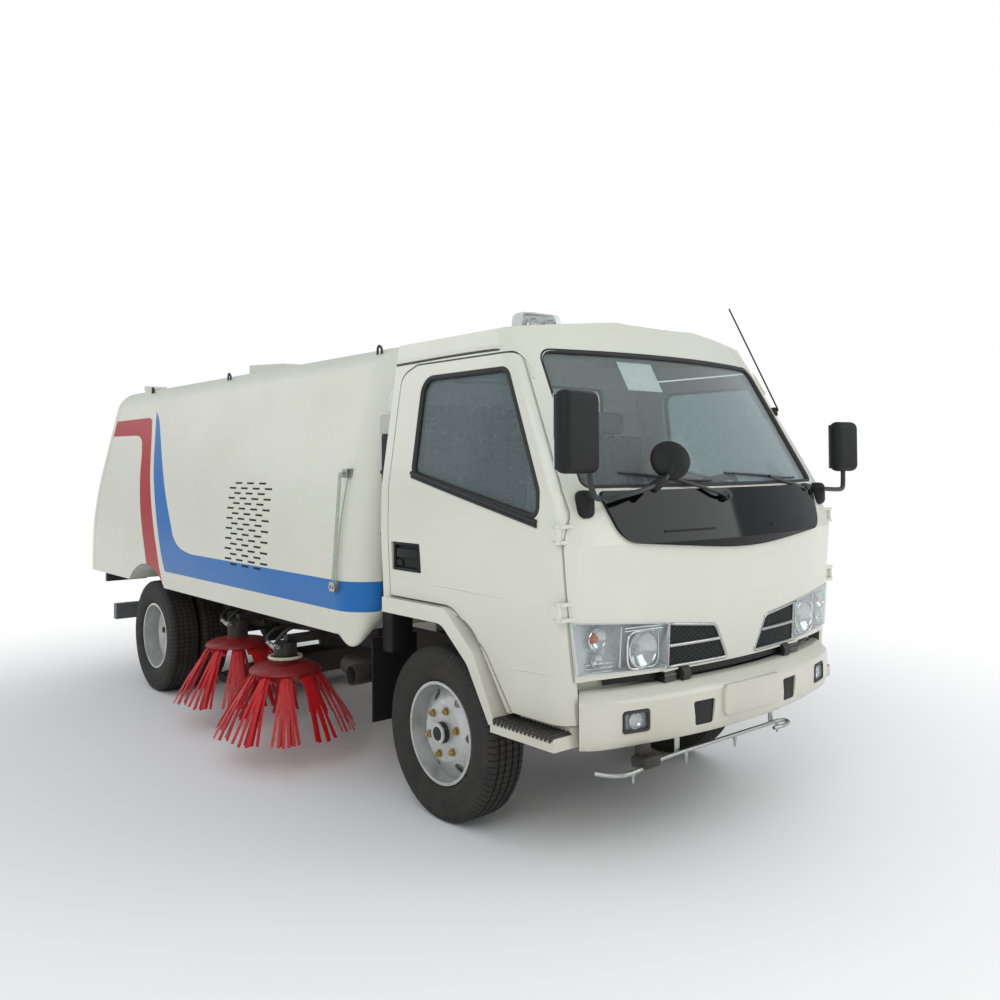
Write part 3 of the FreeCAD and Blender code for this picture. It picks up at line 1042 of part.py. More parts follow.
# Brooms: a disc with splayed bristle bundles, on a hub shaft that enters the motor.
bristle_low = "(bristle_low - broom_z)"
broom = doc.addObject("PartDesign::Body", "broom")
plate_sketch = sketched(broom, "broom_disc_outline", "y", [
    ("0", "0"), ("broom_disc_radius", "0"), ("broom_disc_radius", "-broom_disc_wall"),
    ("0", "-broom_disc_wall")])
disc = broom.newObject("PartDesign::Revolution", "broom_disc")
disc.Profile = plate_sketch
disc.ReferenceAxis = (plate_sketch, ["V_Axis"])
disc.Angle = 360
hub_sketch = sketched(broom, "broom_hub_outline", "y", [
    ("0", "-broom_disc_wall / 2"), ("broom_shaft_radius", "-broom_disc_wall / 2"),
    ("broom_shaft_radius", "broom_shaft_length"), ("0", "broom_shaft_length")])
hub = broom.newObject("PartDesign::Revolution", "broom_shaft")
hub.Profile = hub_sketch
hub.ReferenceAxis = (hub_sketch, ["V_Axis"])
hub.Angle = 360
doc.recompute()
BRISTLE_ROOT_SHARE = 0.72
tine_sketch = sketched(broom, "bristle_outline", "y", [
    (f"{BRISTLE_ROOT_SHARE} * broom_disc_radius", "-broom_disc_wall / 2"),
    (f"{BRISTLE_ROOT_SHARE} * broom_disc_radius + 1.4 * bristle_wall", "-broom_disc_wall / 2"),
    ("bristle_reach", bristle_low), ("bristle_reach - 1.4 * bristle_wall", bristle_low)])
tine = broom.newObject("PartDesign::Pad", "bristle")
tine.Profile = tine_sketch
tine.Midplane = True
bind(tine, Length="bristle_width")
ring_of = broom.newObject("PartDesign::PolarPattern", "bristles")
ring_of.Originals = [tine]
ring_of.Axis = (origin_of(broom, "Z_Axis"), [""])
ring_of.Angle = 360
ring_of.Occurrences = int(mm("bristle_count"))
broom.Tip = ring_of
pivots = []
for end, broom_x, broom_y in (("front", "front_broom_x", "front_broom_y"),
                              ("rear", "rear_broom_x", "rear_broom_y")):
    x = f"({front_axle} - {broom_x})"
    whole = doc.addObject("Part::Compound", f"{end}_broom_placed")
    whole.Links = [broom]
    place(whole, x, broom_y, "broom_z")
    node(f"broom_{end}_right", mirrored(f"{end}_broom_other", whole))
    node(f"broom_{end}_left", whole)
    motor_low = "broom_z + move_gap"
    arm = cut(f"{end}_arm", fuse(f"{end}_arm_solid", [
        rod(f"{end}_motor", "z", x, broom_y, motor_low, "motor_radius", "motor_height"),
        rod(f"{end}_arm_barrel", "x", f"{x} - pivot_length / 2", "arm_pivot_y", "arm_z",
            "2 * pivot_radius", "pivot_length"),
        block(f"{end}_arm_bar", (f"{x} - arm_wall / 2", f"{x} + arm_wall / 2"),
              ("arm_pivot_y", broom_y), ("arm_z - arm_wall / 2", "arm_z + arm_wall / 2"))]),
        rod(f"{end}_shaft_room", "z", x, broom_y, "0", "broom_shaft_radius + run_gap",
            "broom_z + broom_shaft_length + run_gap"),
        rod(f"{end}_pivot_room", "x", f"{x} - pivot_length", "arm_pivot_y", "arm_z",
            "pivot_radius + run_gap", "2 * pivot_length"))
    node(f"broom_arm_{end}_right", mirrored(f"{end}_arm_other", arm))
    node(f"broom_arm_{end}_left", arm)
    pivots.append(rod(f"{end}_pivot_pin", "x", f"{x} - pivot_length / 2 - arm_wall",
                      "arm_pivot_y", "arm_z", "pivot_radius", "pivot_length + 2 * arm_wall"))
    for way in ("-1", "1"):
        near = f"{x} + {way} * (pivot_length / 2 + move_gap)"
        far = f"{x} + {way} * (pivot_length / 2 + arm_wall)"
        pivots.append(block(f"{end}_pivot_ear_{'back' if way == '-1' else 'front'}",
                            (far, near) if way == "-1" else (near, far),
                            (f"{rail_out} + run_gap", "arm_pivot_y + 2 * pivot_radius"),
                            ("arm_z - 2 * pivot_radius", "arm_z + 2 * pivot_radius")))
node("arm_brackets", pair_of("bracket_pair", fuse("left_brackets", pivots)))

# Suction nozzle: an open-bottomed mouth and its pipe, which slides in the duct to the hopper.
mouth = prism("mouth_solid", "x", [
    ("-mouth_width / 2", "mouth_low"), ("mouth_width / 2", "mouth_low"),
    ("mouth_width / 2", "mouth_low + mouth_height / 3"),
    ("duct_y + 2 * duct_radius", "mouth_low + mouth_height"),
    ("duct_y - 2 * duct_radius", "mouth_low + mouth_height"),
    ("-mouth_width / 2", "mouth_low + mouth_height / 3")],
    f"{duct_x} - mouth_length / 2", f"{duct_x} + mouth_length / 2")
mouth_room = prism("mouth_room", "x", [
    ("-mouth_width / 2 + mouth_wall", "mouth_low - overrun"),
    ("mouth_width / 2 - mouth_wall", "mouth_low - overrun"),
    ("mouth_width / 2 - mouth_wall", "mouth_low + mouth_height / 3 - mouth_wall / 2"),
    ("duct_y + 2 * duct_radius", "mouth_low + mouth_height - mouth_wall"),
    ("duct_y - 2 * duct_radius", "mouth_low + mouth_height - mouth_wall"),
    ("-mouth_width / 2 + mouth_wall", "mouth_low + mouth_height / 3 - mouth_wall / 2")],
    f"{duct_x} - mouth_length / 2 + mouth_wall", f"{duct_x} + mouth_length / 2 - mouth_wall")
pipe_top = "(duct_low + duct_overlap)"
node("suction_nozzle", cut("nozzle_shape", fuse("nozzle_solid", [cut("mouth", mouth, mouth_room), rod(
    "nozzle_pipe", "z", duct_x, "duct_y", "mouth_low + mouth_height - mouth_wall / 2",
    "duct_radius", f"{pipe_top} - mouth_low - mouth_height + mouth_wall / 2")]),
    rod("pipe_bore", "z", duct_x, "duct_y", "mouth_low + mouth_height / 2",
        "duct_radius - duct_wall", pipe_top)))
node("suction_duct", cut("duct_shape", rod(
    "duct_solid", "z", duct_x, "duct_y", "duct_low", "duct_radius + duct_wall",
    "box_low + box_wall + duct_wall - duct_low"), rod(
    "duct_bore", "z", duct_x, "duct_y", "duct_low - overrun", "duct_radius + run_gap",
    "2 * box_low")))

# Small pieces on the frame: mud flaps, fuel tank, exhaust, guard, lamps and spray bar.
flap_x = f"({front_axle} - flap_x)"
node("mud_flaps", pair_of("flap_pair", fuse("flap", [
    block("flap_sheet", (f"{flap_x} - flap_wall", flap_x),
          ("flap_out - flap_width", "flap_out"), ("flap_low", "flap_high")),
    block("flap_arm", (f"{flap_x} - 3 * flap_wall", f"{flap_x} - flap_wall / 2"),
          (f"{rail_out} + run_gap", "flap_out - flap_width / 2"),
          ("rail_low + rail_flange", "rail_low + 2 * rail_flange"))])))
node("fuel_tank", block("fuel_tank_body", (f"{front_axle} - tank_x - tank_length",
                                           f"{front_axle} - tank_x"),
                        (f"{rail_out} + run_gap", f"{rail_out} + run_gap + tank_width"),
                        ("tank_low", "tank_low + tank_height")))
pipe_x = f"({front_axle} - exhaust_x)"
node("exhaust_pipe", cut("exhaust_shape", fuse("exhaust_solid", [
    rod("exhaust_tube", "x", f"{pipe_x} - exhaust_length", "-exhaust_y", "exhaust_z",
        "exhaust_radius", "exhaust_length"),
    rod("exhaust_outlet", "y", pipe_x, "-exhaust_out", "exhaust_z", "exhaust_radius",
        "exhaust_reach"),
    rod("exhaust_hanger", "y", pipe_x, "-exhaust_out + exhaust_reach - plate", "exhaust_z",
        "exhaust_radius / 3", f"exhaust_out - exhaust_reach + plate - {rail_out} - run_gap")]),
    rod("exhaust_bore", "y", pipe_x, "-exhaust_out - plate", "exhaust_z",
        "exhaust_radius - exhaust_wall", "exhaust_reach")))
guard_x = f"({front_axle} - guard_x)"
guard_parts = [block("guard_bar", (f"{guard_x} - guard_wall / 2", f"{guard_x} + guard_wall / 2"),
                     ("-guard_wide / 2", "guard_wide / 2"), ("guard_low", "guard_low + guard_height"))]
for way in ("-1", "1"):
    middle = f"{way} * ({rail_out} - rail_flange / 2)"
    guard_parts.append(block(f"guard_post_{'right' if way == '-1' else 'left'}",
                             (f"{guard_x} - guard_wall / 2", f"{guard_x} + guard_wall / 2"),
                             (f"{middle} - rail_flange / 2", f"{middle} + rail_flange / 2"),
                             ("guard_low + guard_height / 2", "rail_low - run_gap")))
node("rear_guard", fuse("rear_guard_solid", guard_parts))
lamp_bar_x = f"({tail} + gate_wall + 2 * overrun)"
tail_lamp = fuse("tail_lamp", [
    block("tail_lamp_body", (f"{lamp_bar_x} - tail_lamp_depth", lamp_bar_x),
          ("tail_lamp_y - tail_lamp_width / 2", "tail_lamp_y + tail_lamp_width / 2"),
          ("box_low - tail_lamp_height - move_gap", "box_low - move_gap")),
    block("tail_lamp_arm", (lamp_bar_x + " - plate", f"{lamp_bar_x} + rail_flange / 2"),
          (f"{rail_out} + run_gap", "tail_lamp_y"),
          ("box_low - tail_lamp_height", "box_low - tail_lamp_height / 2"))])
node("lamps", pair_of("lamp_set", fuse("left_lamps", [fog_body, tail_lamp])))
SPRAY_SHARES = (0.11, 0.365, 0.62, 0.874)
spray_x = f"({front_axle} + spray_x)"
spray = [rod("spray_pipe", "y", spray_x, "-spray_right", "spray_z", "spray_radius",
             "spray_length")]
for i, share in enumerate(SPRAY_SHARES):
    spray.append(rod(f"spray_nozzle_{i}", "z", spray_x, f"-spray_right + {share} * spray_length",
                     "spray_z - nozzle_length", "nozzle_radius", "nozzle_length"))
for way in ("-1", "1"):
    middle = f"{way} * ({rail_out} - rail_flange / 2)"
    for part, front, top in (("post", f"{rail_front} + run_gap + plate", "rail_low + rail_flange"),
                             ("foot", f"{spray_x} + spray_radius / 2",
                              "spray_z + spray_radius / 2")):
        spray.append(block(f"spray_{part}_{'right' if way == '-1' else 'left'}",
                           (f"{rail_front} + run_gap", front),
                           (f"{middle} - spray_radius", f"{middle} + spray_radius"),
                           ("spray_z - spray_radius / 2", top)))
node("spray_bar", fuse("spray_bar_solid", spray))

doc.recompute()
for thing in doc.Objects:
    if "Invalid" in thing.State or "Error" in thing.State:
        raise RuntimeError(f"{thing.Label} failed: {thing.State}")
for thing in nodes:
    if thing.Shape.isNull() or not thing.Shape.isValid() or not thing.Shape.Solids:
        raise RuntimeError(f"{thing.Label} has no valid solid")
os.makedirs("parts", exist_ok=True)
for thing in nodes:
    thing.Shape.exportStep(f"parts/{thing.Label}.step")
    extent = thing.Shape.BoundBox
    print(f"{thing.Label}: {len(thing.Shape.Solids)} solids, {thing.Shape.Volume / 1e6:.2f} litres, "
          f"X {extent.XMin:.0f} {extent.XMax:.0f}, Y {extent.YMin:.0f} {extent.YMax:.0f}, "
          f"Z {extent.ZMin:.0f} {extent.ZMax:.0f}")
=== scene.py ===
import bpy
import json
import math
from mathutils import Matrix, Vector
from mathutils.bvhtree import BVHTree

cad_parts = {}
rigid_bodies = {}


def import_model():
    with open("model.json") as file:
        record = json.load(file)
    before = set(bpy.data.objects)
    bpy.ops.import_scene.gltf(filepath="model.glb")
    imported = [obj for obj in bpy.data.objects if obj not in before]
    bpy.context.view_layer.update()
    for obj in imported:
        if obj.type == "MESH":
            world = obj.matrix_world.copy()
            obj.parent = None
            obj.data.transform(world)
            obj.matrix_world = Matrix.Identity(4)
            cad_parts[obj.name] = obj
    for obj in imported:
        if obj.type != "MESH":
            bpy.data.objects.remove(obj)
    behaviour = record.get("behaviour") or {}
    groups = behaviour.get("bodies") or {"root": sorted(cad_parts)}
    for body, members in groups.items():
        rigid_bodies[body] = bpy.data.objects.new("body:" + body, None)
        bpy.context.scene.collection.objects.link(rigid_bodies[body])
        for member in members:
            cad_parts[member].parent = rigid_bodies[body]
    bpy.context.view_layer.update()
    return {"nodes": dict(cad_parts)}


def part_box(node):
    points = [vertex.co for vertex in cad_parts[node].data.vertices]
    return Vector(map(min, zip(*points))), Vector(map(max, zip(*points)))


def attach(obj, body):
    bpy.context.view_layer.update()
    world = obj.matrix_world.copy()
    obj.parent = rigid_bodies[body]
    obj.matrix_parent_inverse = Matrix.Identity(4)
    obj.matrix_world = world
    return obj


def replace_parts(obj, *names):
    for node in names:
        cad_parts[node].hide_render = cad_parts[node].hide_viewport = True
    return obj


bpy.ops.object.select_all(action="SELECT")
bpy.ops.object.delete()
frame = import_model()
parts = frame["nodes"]
front_x = sum(corner.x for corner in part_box("tyre_front_right")) / 2
rear_x = sum(corner.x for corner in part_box("tyre_rear_right")) / 2
SIDES = (("right", -1), ("left", 1))
CAD_MERGE, FINE_MERGE = 0.0001, 0.00001
TYRE_RADIUS, SHOULDER_CUTS = 0.388, 84.0
HEAD_ON_SHINE = 0.04
ROAD_FILM, COAT_ROUGH = "AEA995", 0.05
AHEAD = 3.2

# The camera stands by the truck's front right corner at standing height, turned a little up,
# with its frame shifted so that the truck sits where it does in the photograph.
azimuth, pitch, roll = math.radians(49.9175), math.radians(1.156), math.radians(-0.42925)
looking = Vector((-math.sin(azimuth) * math.cos(pitch), math.cos(azimuth) * math.cos(pitch),
                  math.sin(pitch)))
level = Vector((math.cos(azimuth), math.sin(azimuth), 0))
above = level.cross(looking)
across = level * math.cos(roll) + above * math.sin(roll)
upward = above * math.cos(roll) - level * math.sin(roll)
bpy.ops.object.camera_add()
camera = bpy.context.object
CAMERA_SPOT, LENS_MM, SHIFT_UP = (5.127, -3.3323, 1.5969), 33.59, -0.0555
camera.matrix_world = Matrix.Translation(CAMERA_SPOT) @ Matrix(
    (across, upward, -looking)).transposed().to_4x4()
camera.data.lens = LENS_MM
camera.data.shift_y = SHIFT_UP
camera.data.clip_end = 200
bpy.context.scene.camera = camera
bpy.context.scene.view_settings.view_transform = "Standard"


def linear(code):
    """The linear colour of an sRGB hex value."""
    parts_of = [int(code[i:i + 2], 16) / 255 for i in (0, 2, 4)]
    return (*(c / 12.92 if c <= 0.04045 else ((c + 0.055) / 1.055) ** 2.4 for c in parts_of), 1)


def add(tree, kind, settings=(), links=()):
    """Adds a node with its settings and its links."""
    made = tree.nodes.new(kind)
    for name, value in dict(settings).items():
        if isinstance(name, int) or name in made.inputs:
            made.inputs[name].default_value = value
        else:
            setattr(made, name, value)
    for socket, source in dict(links).items():
        tree.links.new(source, made.inputs[socket])
    return made


def maths(tree, kind, *values, **settings):
    """The result of a math node on sockets and plain numbers."""
    made = add(tree, "ShaderNodeMath", {"operation": kind, **settings})
    for place, value in enumerate(values):
        if isinstance(value, (int, float)):
            made.inputs[place].default_value = value
        else:
            tree.links.new(value, made.inputs[place])
    return made.outputs[0]


def ranged(tree, value, from_low, from_high, to_low=0.0, to_high=1.0, **settings):
    """A value carried from one range to another, and held inside it."""
    return add(tree, "ShaderNodeMapRange", {
        **settings, "From Min": from_low, "From Max": from_high, "To Min": to_low,
        "To Max": to_high}, {0: value}).outputs["Result"]


def noise(tree, place, scale, detail, rough=0.5):
    """Cloudy noise over a surface's own coordinates."""
    return add(tree, "ShaderNodeTexNoise", {"Scale": scale, "Detail": detail,
                                            "Roughness": rough}, {"Vector": place}).outputs["Fac"]


def tinted(tree, share, base, code):
    """A colour that turns to a hex value by a share."""
    return add(tree, "ShaderNodeMix", {"data_type": "RGBA", 7: linear(code)},
               {0: share, 6: base}).outputs[2]


def object_axes(tree, kind="Object"):
    """A surface's own coordinates, whole and as x, y and z."""
    place = add(tree, "ShaderNodeTexCoord").outputs[kind]
    return place, add(tree, "ShaderNodeSeparateXYZ", {}, {0: place}).outputs


def surface(name, colour, marks, grain_mm, share=0.5, rough=(0.4, 0.6), metal=0.0, ior=1.5,
            dent_mm=0.0, coat=0.0):
    """A surface whose colour drifts to its marks over patches of a real size, with a fine bump."""
    made = bpy.data.materials.new(name)
    made.use_nodes = True
    tree = made.node_tree
    shader = tree.nodes["Principled BSDF"]
    for socket, value in (("Metallic", metal), ("IOR", ior), ("Coat Weight", coat),
                          ("Coat Roughness", COAT_ROUGH)):
        shader.inputs[socket].default_value = value
    place = add(tree, "ShaderNodeTexCoord").outputs["Object"]
    cloud = noise(tree, place, 1000 / grain_mm, 6.0, 0.6)
    blend = add(tree, "ShaderNodeMix", {"data_type": "RGBA", 6: linear(colour), 7: linear(marks)},
                {0: ranged(tree, cloud, 0.35, 0.75, 0.0, share)})
    show_colour(tree, blend.outputs[2])
    tree.links.new(ranged(tree, cloud, 0.3, 0.7, *rough), shader.inputs["Roughness"])
    if dent_mm:
        bump = add(tree, "ShaderNodeBump", {"Strength": 1.0, "Distance": dent_mm / 1000},
                   {"Height": noise(tree, place, 8000 / grain_mm, 3.0)})
        bump.name = "dents"
        tree.links.new(bump.outputs["Normal"], shader.inputs["Normal"])
    return made


def show_colour(tree, colour):
    """Makes a colour the one that a surface shows."""
    tree.links.new(colour, tree.nodes["Principled BSDF"].inputs["Base Color"])


def colour_of(made):
    """The colour that a surface shows so far, and the node tree to add a pattern to it."""
    tree = made.node_tree
    return tree, tree.nodes["Principled BSDF"].inputs["Base Color"].links[0].from_socket


def dress(material, *names):
    """Gives a material to CAD nodes."""
    for name in names:
        mesh = parts[name].data
        mesh.materials.clear()
        mesh.materials.append(material)


# The floor is a pale studio floor that runs out of sight, white past the truck's shadow. Broad
# soft boxes and a pale room light the truck evenly, the strongest from over the left shoulder.
bpy.ops.object.select_all(action="DESELECT")
bpy.ops.mesh.primitive_circle_add(vertices=96, radius=60, fill_type="NGON")
floor = bpy.context.object
floor.name = "studio_floor"
studio = bpy.data.materials.new("pale_studio_floor")
studio.use_nodes = True
studio_tree = studio.node_tree
studio_shader = studio_tree.nodes["Principled BSDF"]
studio_shader.inputs["Roughness"].default_value = 0.9
studio_shader.inputs["Base Color"].default_value = linear("F2F2F2")
floor_place = add(studio_tree, "ShaderNodeTexCoord")
floor_reach = add(studio_tree, "ShaderNodeVectorMath", {"operation": "LENGTH"},
                  {0: floor_place.outputs["Object"]})
floor_fade = ranged(studio_tree, floor_reach.outputs["Value"], 2.0, 5.2,
                    interpolation_type="SMOOTHSTEP")
floor_white = add(studio_tree, "ShaderNodeEmission", {"Color": (1, 1, 1, 1), "Strength": 1.0})
floor_mix = add(studio_tree, "ShaderNodeMixShader", {}, {
    0: floor_fade, 1: studio_shader.outputs[0], 2: floor_white.outputs[0]})
studio_tree.links.new(floor_mix.outputs[0], studio_tree.nodes["Material Output"].inputs["Surface"])
floor.data.materials.append(studio)
for light_name, spot, size, power, turn in (
        ("key_box", (6.5, -7.5, 7.0), 6.0, 250, (50, 0, 35)),
        ("fill_box", (9.0, 5.0, 5.0), 6.0, 210, (60, 0, 115)),
        ("back_box", (-8.0, -5.0, 6.0), 6.0, 110, (55, 0, -60)),
        ("far_box", (-3.0, 8.5, 6.0), 6.0, 150, (55, 0, -165))):
    bpy.ops.object.light_add(type="AREA", location=spot)
    lamp = bpy.context.object
    lamp.name = light_name
    lamp.rotation_euler = [math.radians(t) for t in turn]
    lamp.data.size = size
    lamp.data.energy = power
world = bpy.data.worlds.new("pale_room")
bpy.context.scene.world = world
world.use_nodes = True
room = world.node_tree
background = room.nodes["Background"]
background.inputs["Color"].default_value = (0.93, 0.96, 1.0, 1)
background.inputs["Strength"].default_value = 0.60
seen = add(room, "ShaderNodeBackground", {"Color": (1, 1, 1, 1), "Strength": 1.0})
path = add(room, "ShaderNodeLightPath")
straight = maths(room, "MAXIMUM", path.outputs["Is Camera Ray"],
                 path.outputs["Is Transmission Ray"])
either = add(room, "ShaderNodeMixShader", {}, {0: straight, 1: background.outputs[0],
                                               2: seen.outputs[0]})
room.links.new(either.outputs[0], room.nodes["World Output"].inputs["Surface"])

# The truck's body panels are pressed steel in gloss cream-white enamel, a little dulled by road
# film. The sills and the lower edges carry more of it.
cream = surface("gloss_enamel_cream", "D9DACD", "CBCBBC", 900, 0.5, (0.16, 0.26), coat=0.3)
dress(cream, "cab_shell", "door_right", "door_left", "wheel_flares", "tailgate", "roof_hatch",
      "bumper")
tree, base = colour_of(cream)
place, (along, _, height) = object_axes(tree)
film = maths(tree, "MULTIPLY", ranged(tree, height, 0.45, 1.05, 1.0, 0.0),
             noise(tree, place, 2.2, 8.0))
# The tilt brackets under the nose are coloured near-black: painted shade for the dark gap they sit
# in.
shade = maths(tree, "GREATER_THAN", along, 2.625)
for kind, limit in (("GREATER_THAN", 0.7295), ("LESS_THAN", 0.771)):
    shade = maths(tree, "MULTIPLY", shade, maths(tree, kind, height, limit))
show_colour(tree, tinted(tree, shade, tinted(tree, film, base, ROAD_FILM), "131313"))


def fresh(*pieces):
    """Selects only the pieces given, so that an operator acts on them alone."""
    bpy.ops.object.select_all(action="DESELECT")
    for piece in pieces:
        piece.select_set(True)
        bpy.context.view_layer.objects.active = piece


def chain(points):
    """A run of edges through points, each corner extruded from the one before, in edit mode."""
    fresh()
    bpy.ops.mesh.primitive_plane_add(size=0.001, location=points[0])
    bpy.ops.object.mode_set(mode="EDIT")
    bpy.ops.mesh.select_mode(type="VERT")
    bpy.ops.mesh.merge(type="CENTER")
    for before, after in zip(points, points[1:]):
        bpy.ops.mesh.extrude_region_move(
            TRANSFORM_OT_translate={"value": Vector(after) - Vector(before)})
    bpy.ops.mesh.select_all(action="SELECT")


def editing(kind=None, action="SELECT"):
    """Enters edit mode with all of a piece selected, or none of it."""
    bpy.ops.object.mode_set(mode="EDIT")
    if kind:
        bpy.ops.mesh.select_mode(type=kind)
    bpy.ops.mesh.select_all(action=action)


def modified(piece, kind, **settings):
    """A piece with one modifier set and applied."""
    fresh(piece)
    bpy.ops.object.modifier_add(type=kind)
    modifier = piece.modifiers[-1]
    for name, value in settings.items():
        setattr(modifier, name, value)
    bpy.ops.object.modifier_apply(modifier=modifier.name)
    return piece


def settled():
    """Leaves edit mode with doubles merged and every face turned outwards."""
    bpy.ops.mesh.select_all(action="SELECT")
    bpy.ops.mesh.remove_doubles(threshold=FINE_MERGE)
    bpy.ops.mesh.normals_make_consistent(inside=False)
    bpy.ops.object.mode_set(mode="OBJECT")
    bpy.ops.object.transform_apply(location=True, rotation=True, scale=True)
    return bpy.context.object


def lathe(profile, centre, axis, steps):
    """A profile of (place along the axis, radius) spun round an axis through a centre."""
    centre, axis = Vector(centre), Vector(axis)
    side = Vector((0, 0, 1)) if abs(axis.z) < 0.7 else Vector((1, 0, 0))
    side = (side - axis * side.dot(axis)).normalized()
    chain([centre + axis * along + side * radius for along, radius in profile])
    bpy.ops.mesh.spin(steps=steps, angle=math.tau, center=centre, axis=axis)
    return settled()


def plate(points, depth):
    """A closed outline filled and given a depth, a vector."""
    chain([*points, points[0]])
    bpy.ops.mesh.remove_doubles(threshold=FINE_MERGE)
    bpy.ops.mesh.edge_face_add()
    bpy.ops.mesh.extrude_region_move(TRANSFORM_OT_translate={"value": depth})
    return settled()


def slab(low, high, soft=0.0, segments=2):
    """A block between two corners with its edges rounded by soft."""
    fresh()
    low, high = Vector(low), Vector(high)
    bpy.ops.mesh.primitive_cube_add(size=1, location=(low + high) / 2)
    bpy.ops.transform.resize(value=high - low)
    bpy.ops.object.transform_apply(location=True, rotation=True, scale=True)
    editing()
    if soft:
        bpy.ops.mesh.bevel(offset=soft, segments=segments, affect="EDGES")
    return settled()


def drum(start, end, radius, sides=24, soft=0.0):
    """A round bar between two points with its end edges rounded by soft."""
    start, end = Vector(start), Vector(end)
    length = (end - start).length
    rim = ([(0, radius - soft), (soft, radius), (length - soft, radius), (length, radius - soft)]
           if soft else [(0, radius), (length, radius)])
    return lathe([(0, 0), *rim, (length, 0)], start, (end - start).normalized(), sides)


def pipe(points, radius, bend=0.0, sides=3):
    """A round pipe through points, its corners bent round an arc of a radius."""
    route = [Vector(points[0])]
    for before, at, after in zip(points, points[1:], points[2:]):
        before, at, after = Vector(before), Vector(at), Vector(after)
        back, ahead = (before - at).normalized(), (after - at).normalized()
        reach = min(bend, (before - at).length / 2.1, (after - at).length / 2.1)
        steps = 6 if bend else 0
        for step in range(steps + 1):
            share = step / steps if steps else 0.5
            route.append(at + back * reach * (1 - share) ** 2 + ahead * reach * share ** 2)
    route.append(Vector(points[-1]))
    fresh()
    bpy.ops.curve.primitive_nurbs_path_add()
    curve = bpy.context.object.data
    curve.splines.clear()
    spline = curve.splines.new("POLY")
    spline.points.add(len(route) - 1)
    for place, point in zip(spline.points, route):
        place.co = (*point, 1)
    curve.bevel_depth = radius
    curve.bevel_resolution = sides
    curve.use_fill_caps = True
    bpy.ops.object.convert(target="MESH")
    return bpy.context.object


def copy_of(piece, move=(0, 0, 0), mirror=False, centre=(0, 0, 0), axis=(0, 0, 1), angle=0.0):
    """A copy with its own mesh, moved, turned about an axis or mirrored to the other side."""
    fresh(piece)
    bpy.ops.object.duplicate()
    other = bpy.context.object
    centre = Vector(centre)
    turn = Matrix.Rotation(angle, 4, Vector(axis))
    other.matrix_world = (Matrix.Translation(Vector(move) + centre) @ turn
                          @ Matrix.Translation(-centre))
    if mirror:
        other.scale.y = -1
    bpy.ops.object.transform_apply(location=True, rotation=True, scale=True)
    if mirror:
        bpy.ops.object.mode_set(mode="EDIT")
        settled()
    return other


def flipped(piece):
    """A piece moved to the other side."""
    other = copy_of(piece, mirror=True)
    bpy.data.objects.remove(piece)
    return other


def joined(*pieces):
    """Several meshes as one."""
    fresh(*pieces)
    bpy.ops.object.join()
    return bpy.context.object


def done(piece, name, body, material, smooth=35):
    """Names a finished piece, gives it its material and shading, and lets it ride on a body."""
    fresh(piece)
    bpy.ops.object.transform_apply(location=True, rotation=True, scale=True)
    bpy.ops.object.shade_smooth_by_angle(angle=math.radians(smooth))
    piece.name = piece.data.name = name
    piece.data.materials.clear()
    piece.data.materials.append(material)
    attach(piece, body)
    return piece


# The tyres are black road rubber with dusty sidewalls: a flat tread with four grooves and fine
# cross cuts on its shoulders, and a bead that sits on the rim.
TREAD = ((0.071, 0.2295), (0.080, 0.236), (0.091, 0.250), (0.0965, 0.272), (0.0995, 0.300),
         (0.0995, 0.318), (0.0975, 0.322), (0.0975, 0.326), (0.0985, 0.330), (0.0965, 0.350),
         (0.0925, 0.366), (0.0865, 0.378), (0.0765, 0.3855), (0.0600, 0.3872), (0.0580, 0.3790),
         (0.0510, 0.3790), (0.0490, 0.3875), (0.0250, 0.3880), (0.0230, 0.3790), (0.0160, 0.3790),
         (0.0140, 0.3880))


def tyre_rubber(name, centre_x):
    """Rubber with cross cuts round the shoulders of the tyres on one axle, darkened in the cuts
    with painted shade.
    """
    made = surface(name, "1E1E1E", "48453D", 90, 0.55, (0.72, 0.9), dent_mm=0.25)
    tree, base = colour_of(made)
    axes = object_axes(tree)[1]
    along = maths(tree, "SUBTRACT", axes[0], centre_x)
    up = maths(tree, "SUBTRACT", axes[2], TYRE_RADIUS)
    turn = maths(tree, "ARCTAN2", along, up)
    wave = maths(tree, "SINE", maths(tree, "MULTIPLY", turn, SHOULDER_CUTS))
    radius = maths(tree, "SQRT", maths(tree, "ADD", maths(tree, "MULTIPLY", along, along),
                                       maths(tree, "MULTIPLY", up, up)))
    # The cross cuts are coloured near-black as painted shade in the recesses, and also sunk by a
    # bump.
    share = maths(tree, "MULTIPLY", maths(tree, "GREATER_THAN", wave, 0.72),
                  ranged(tree, radius, 0.352, 0.362))
    show_colour(tree, tinted(tree, share, base, "0D0D0D"))
    depth = add(tree, "ShaderNodeBump", {"Strength": 1.0, "Distance": 0.004, "invert": True},
                {"Height": share, "Normal": tree.nodes["dents"].outputs["Normal"]})
    tree.links.new(depth.outputs["Normal"], tree.nodes["Principled BSDF"].inputs["Normal"])
    return made


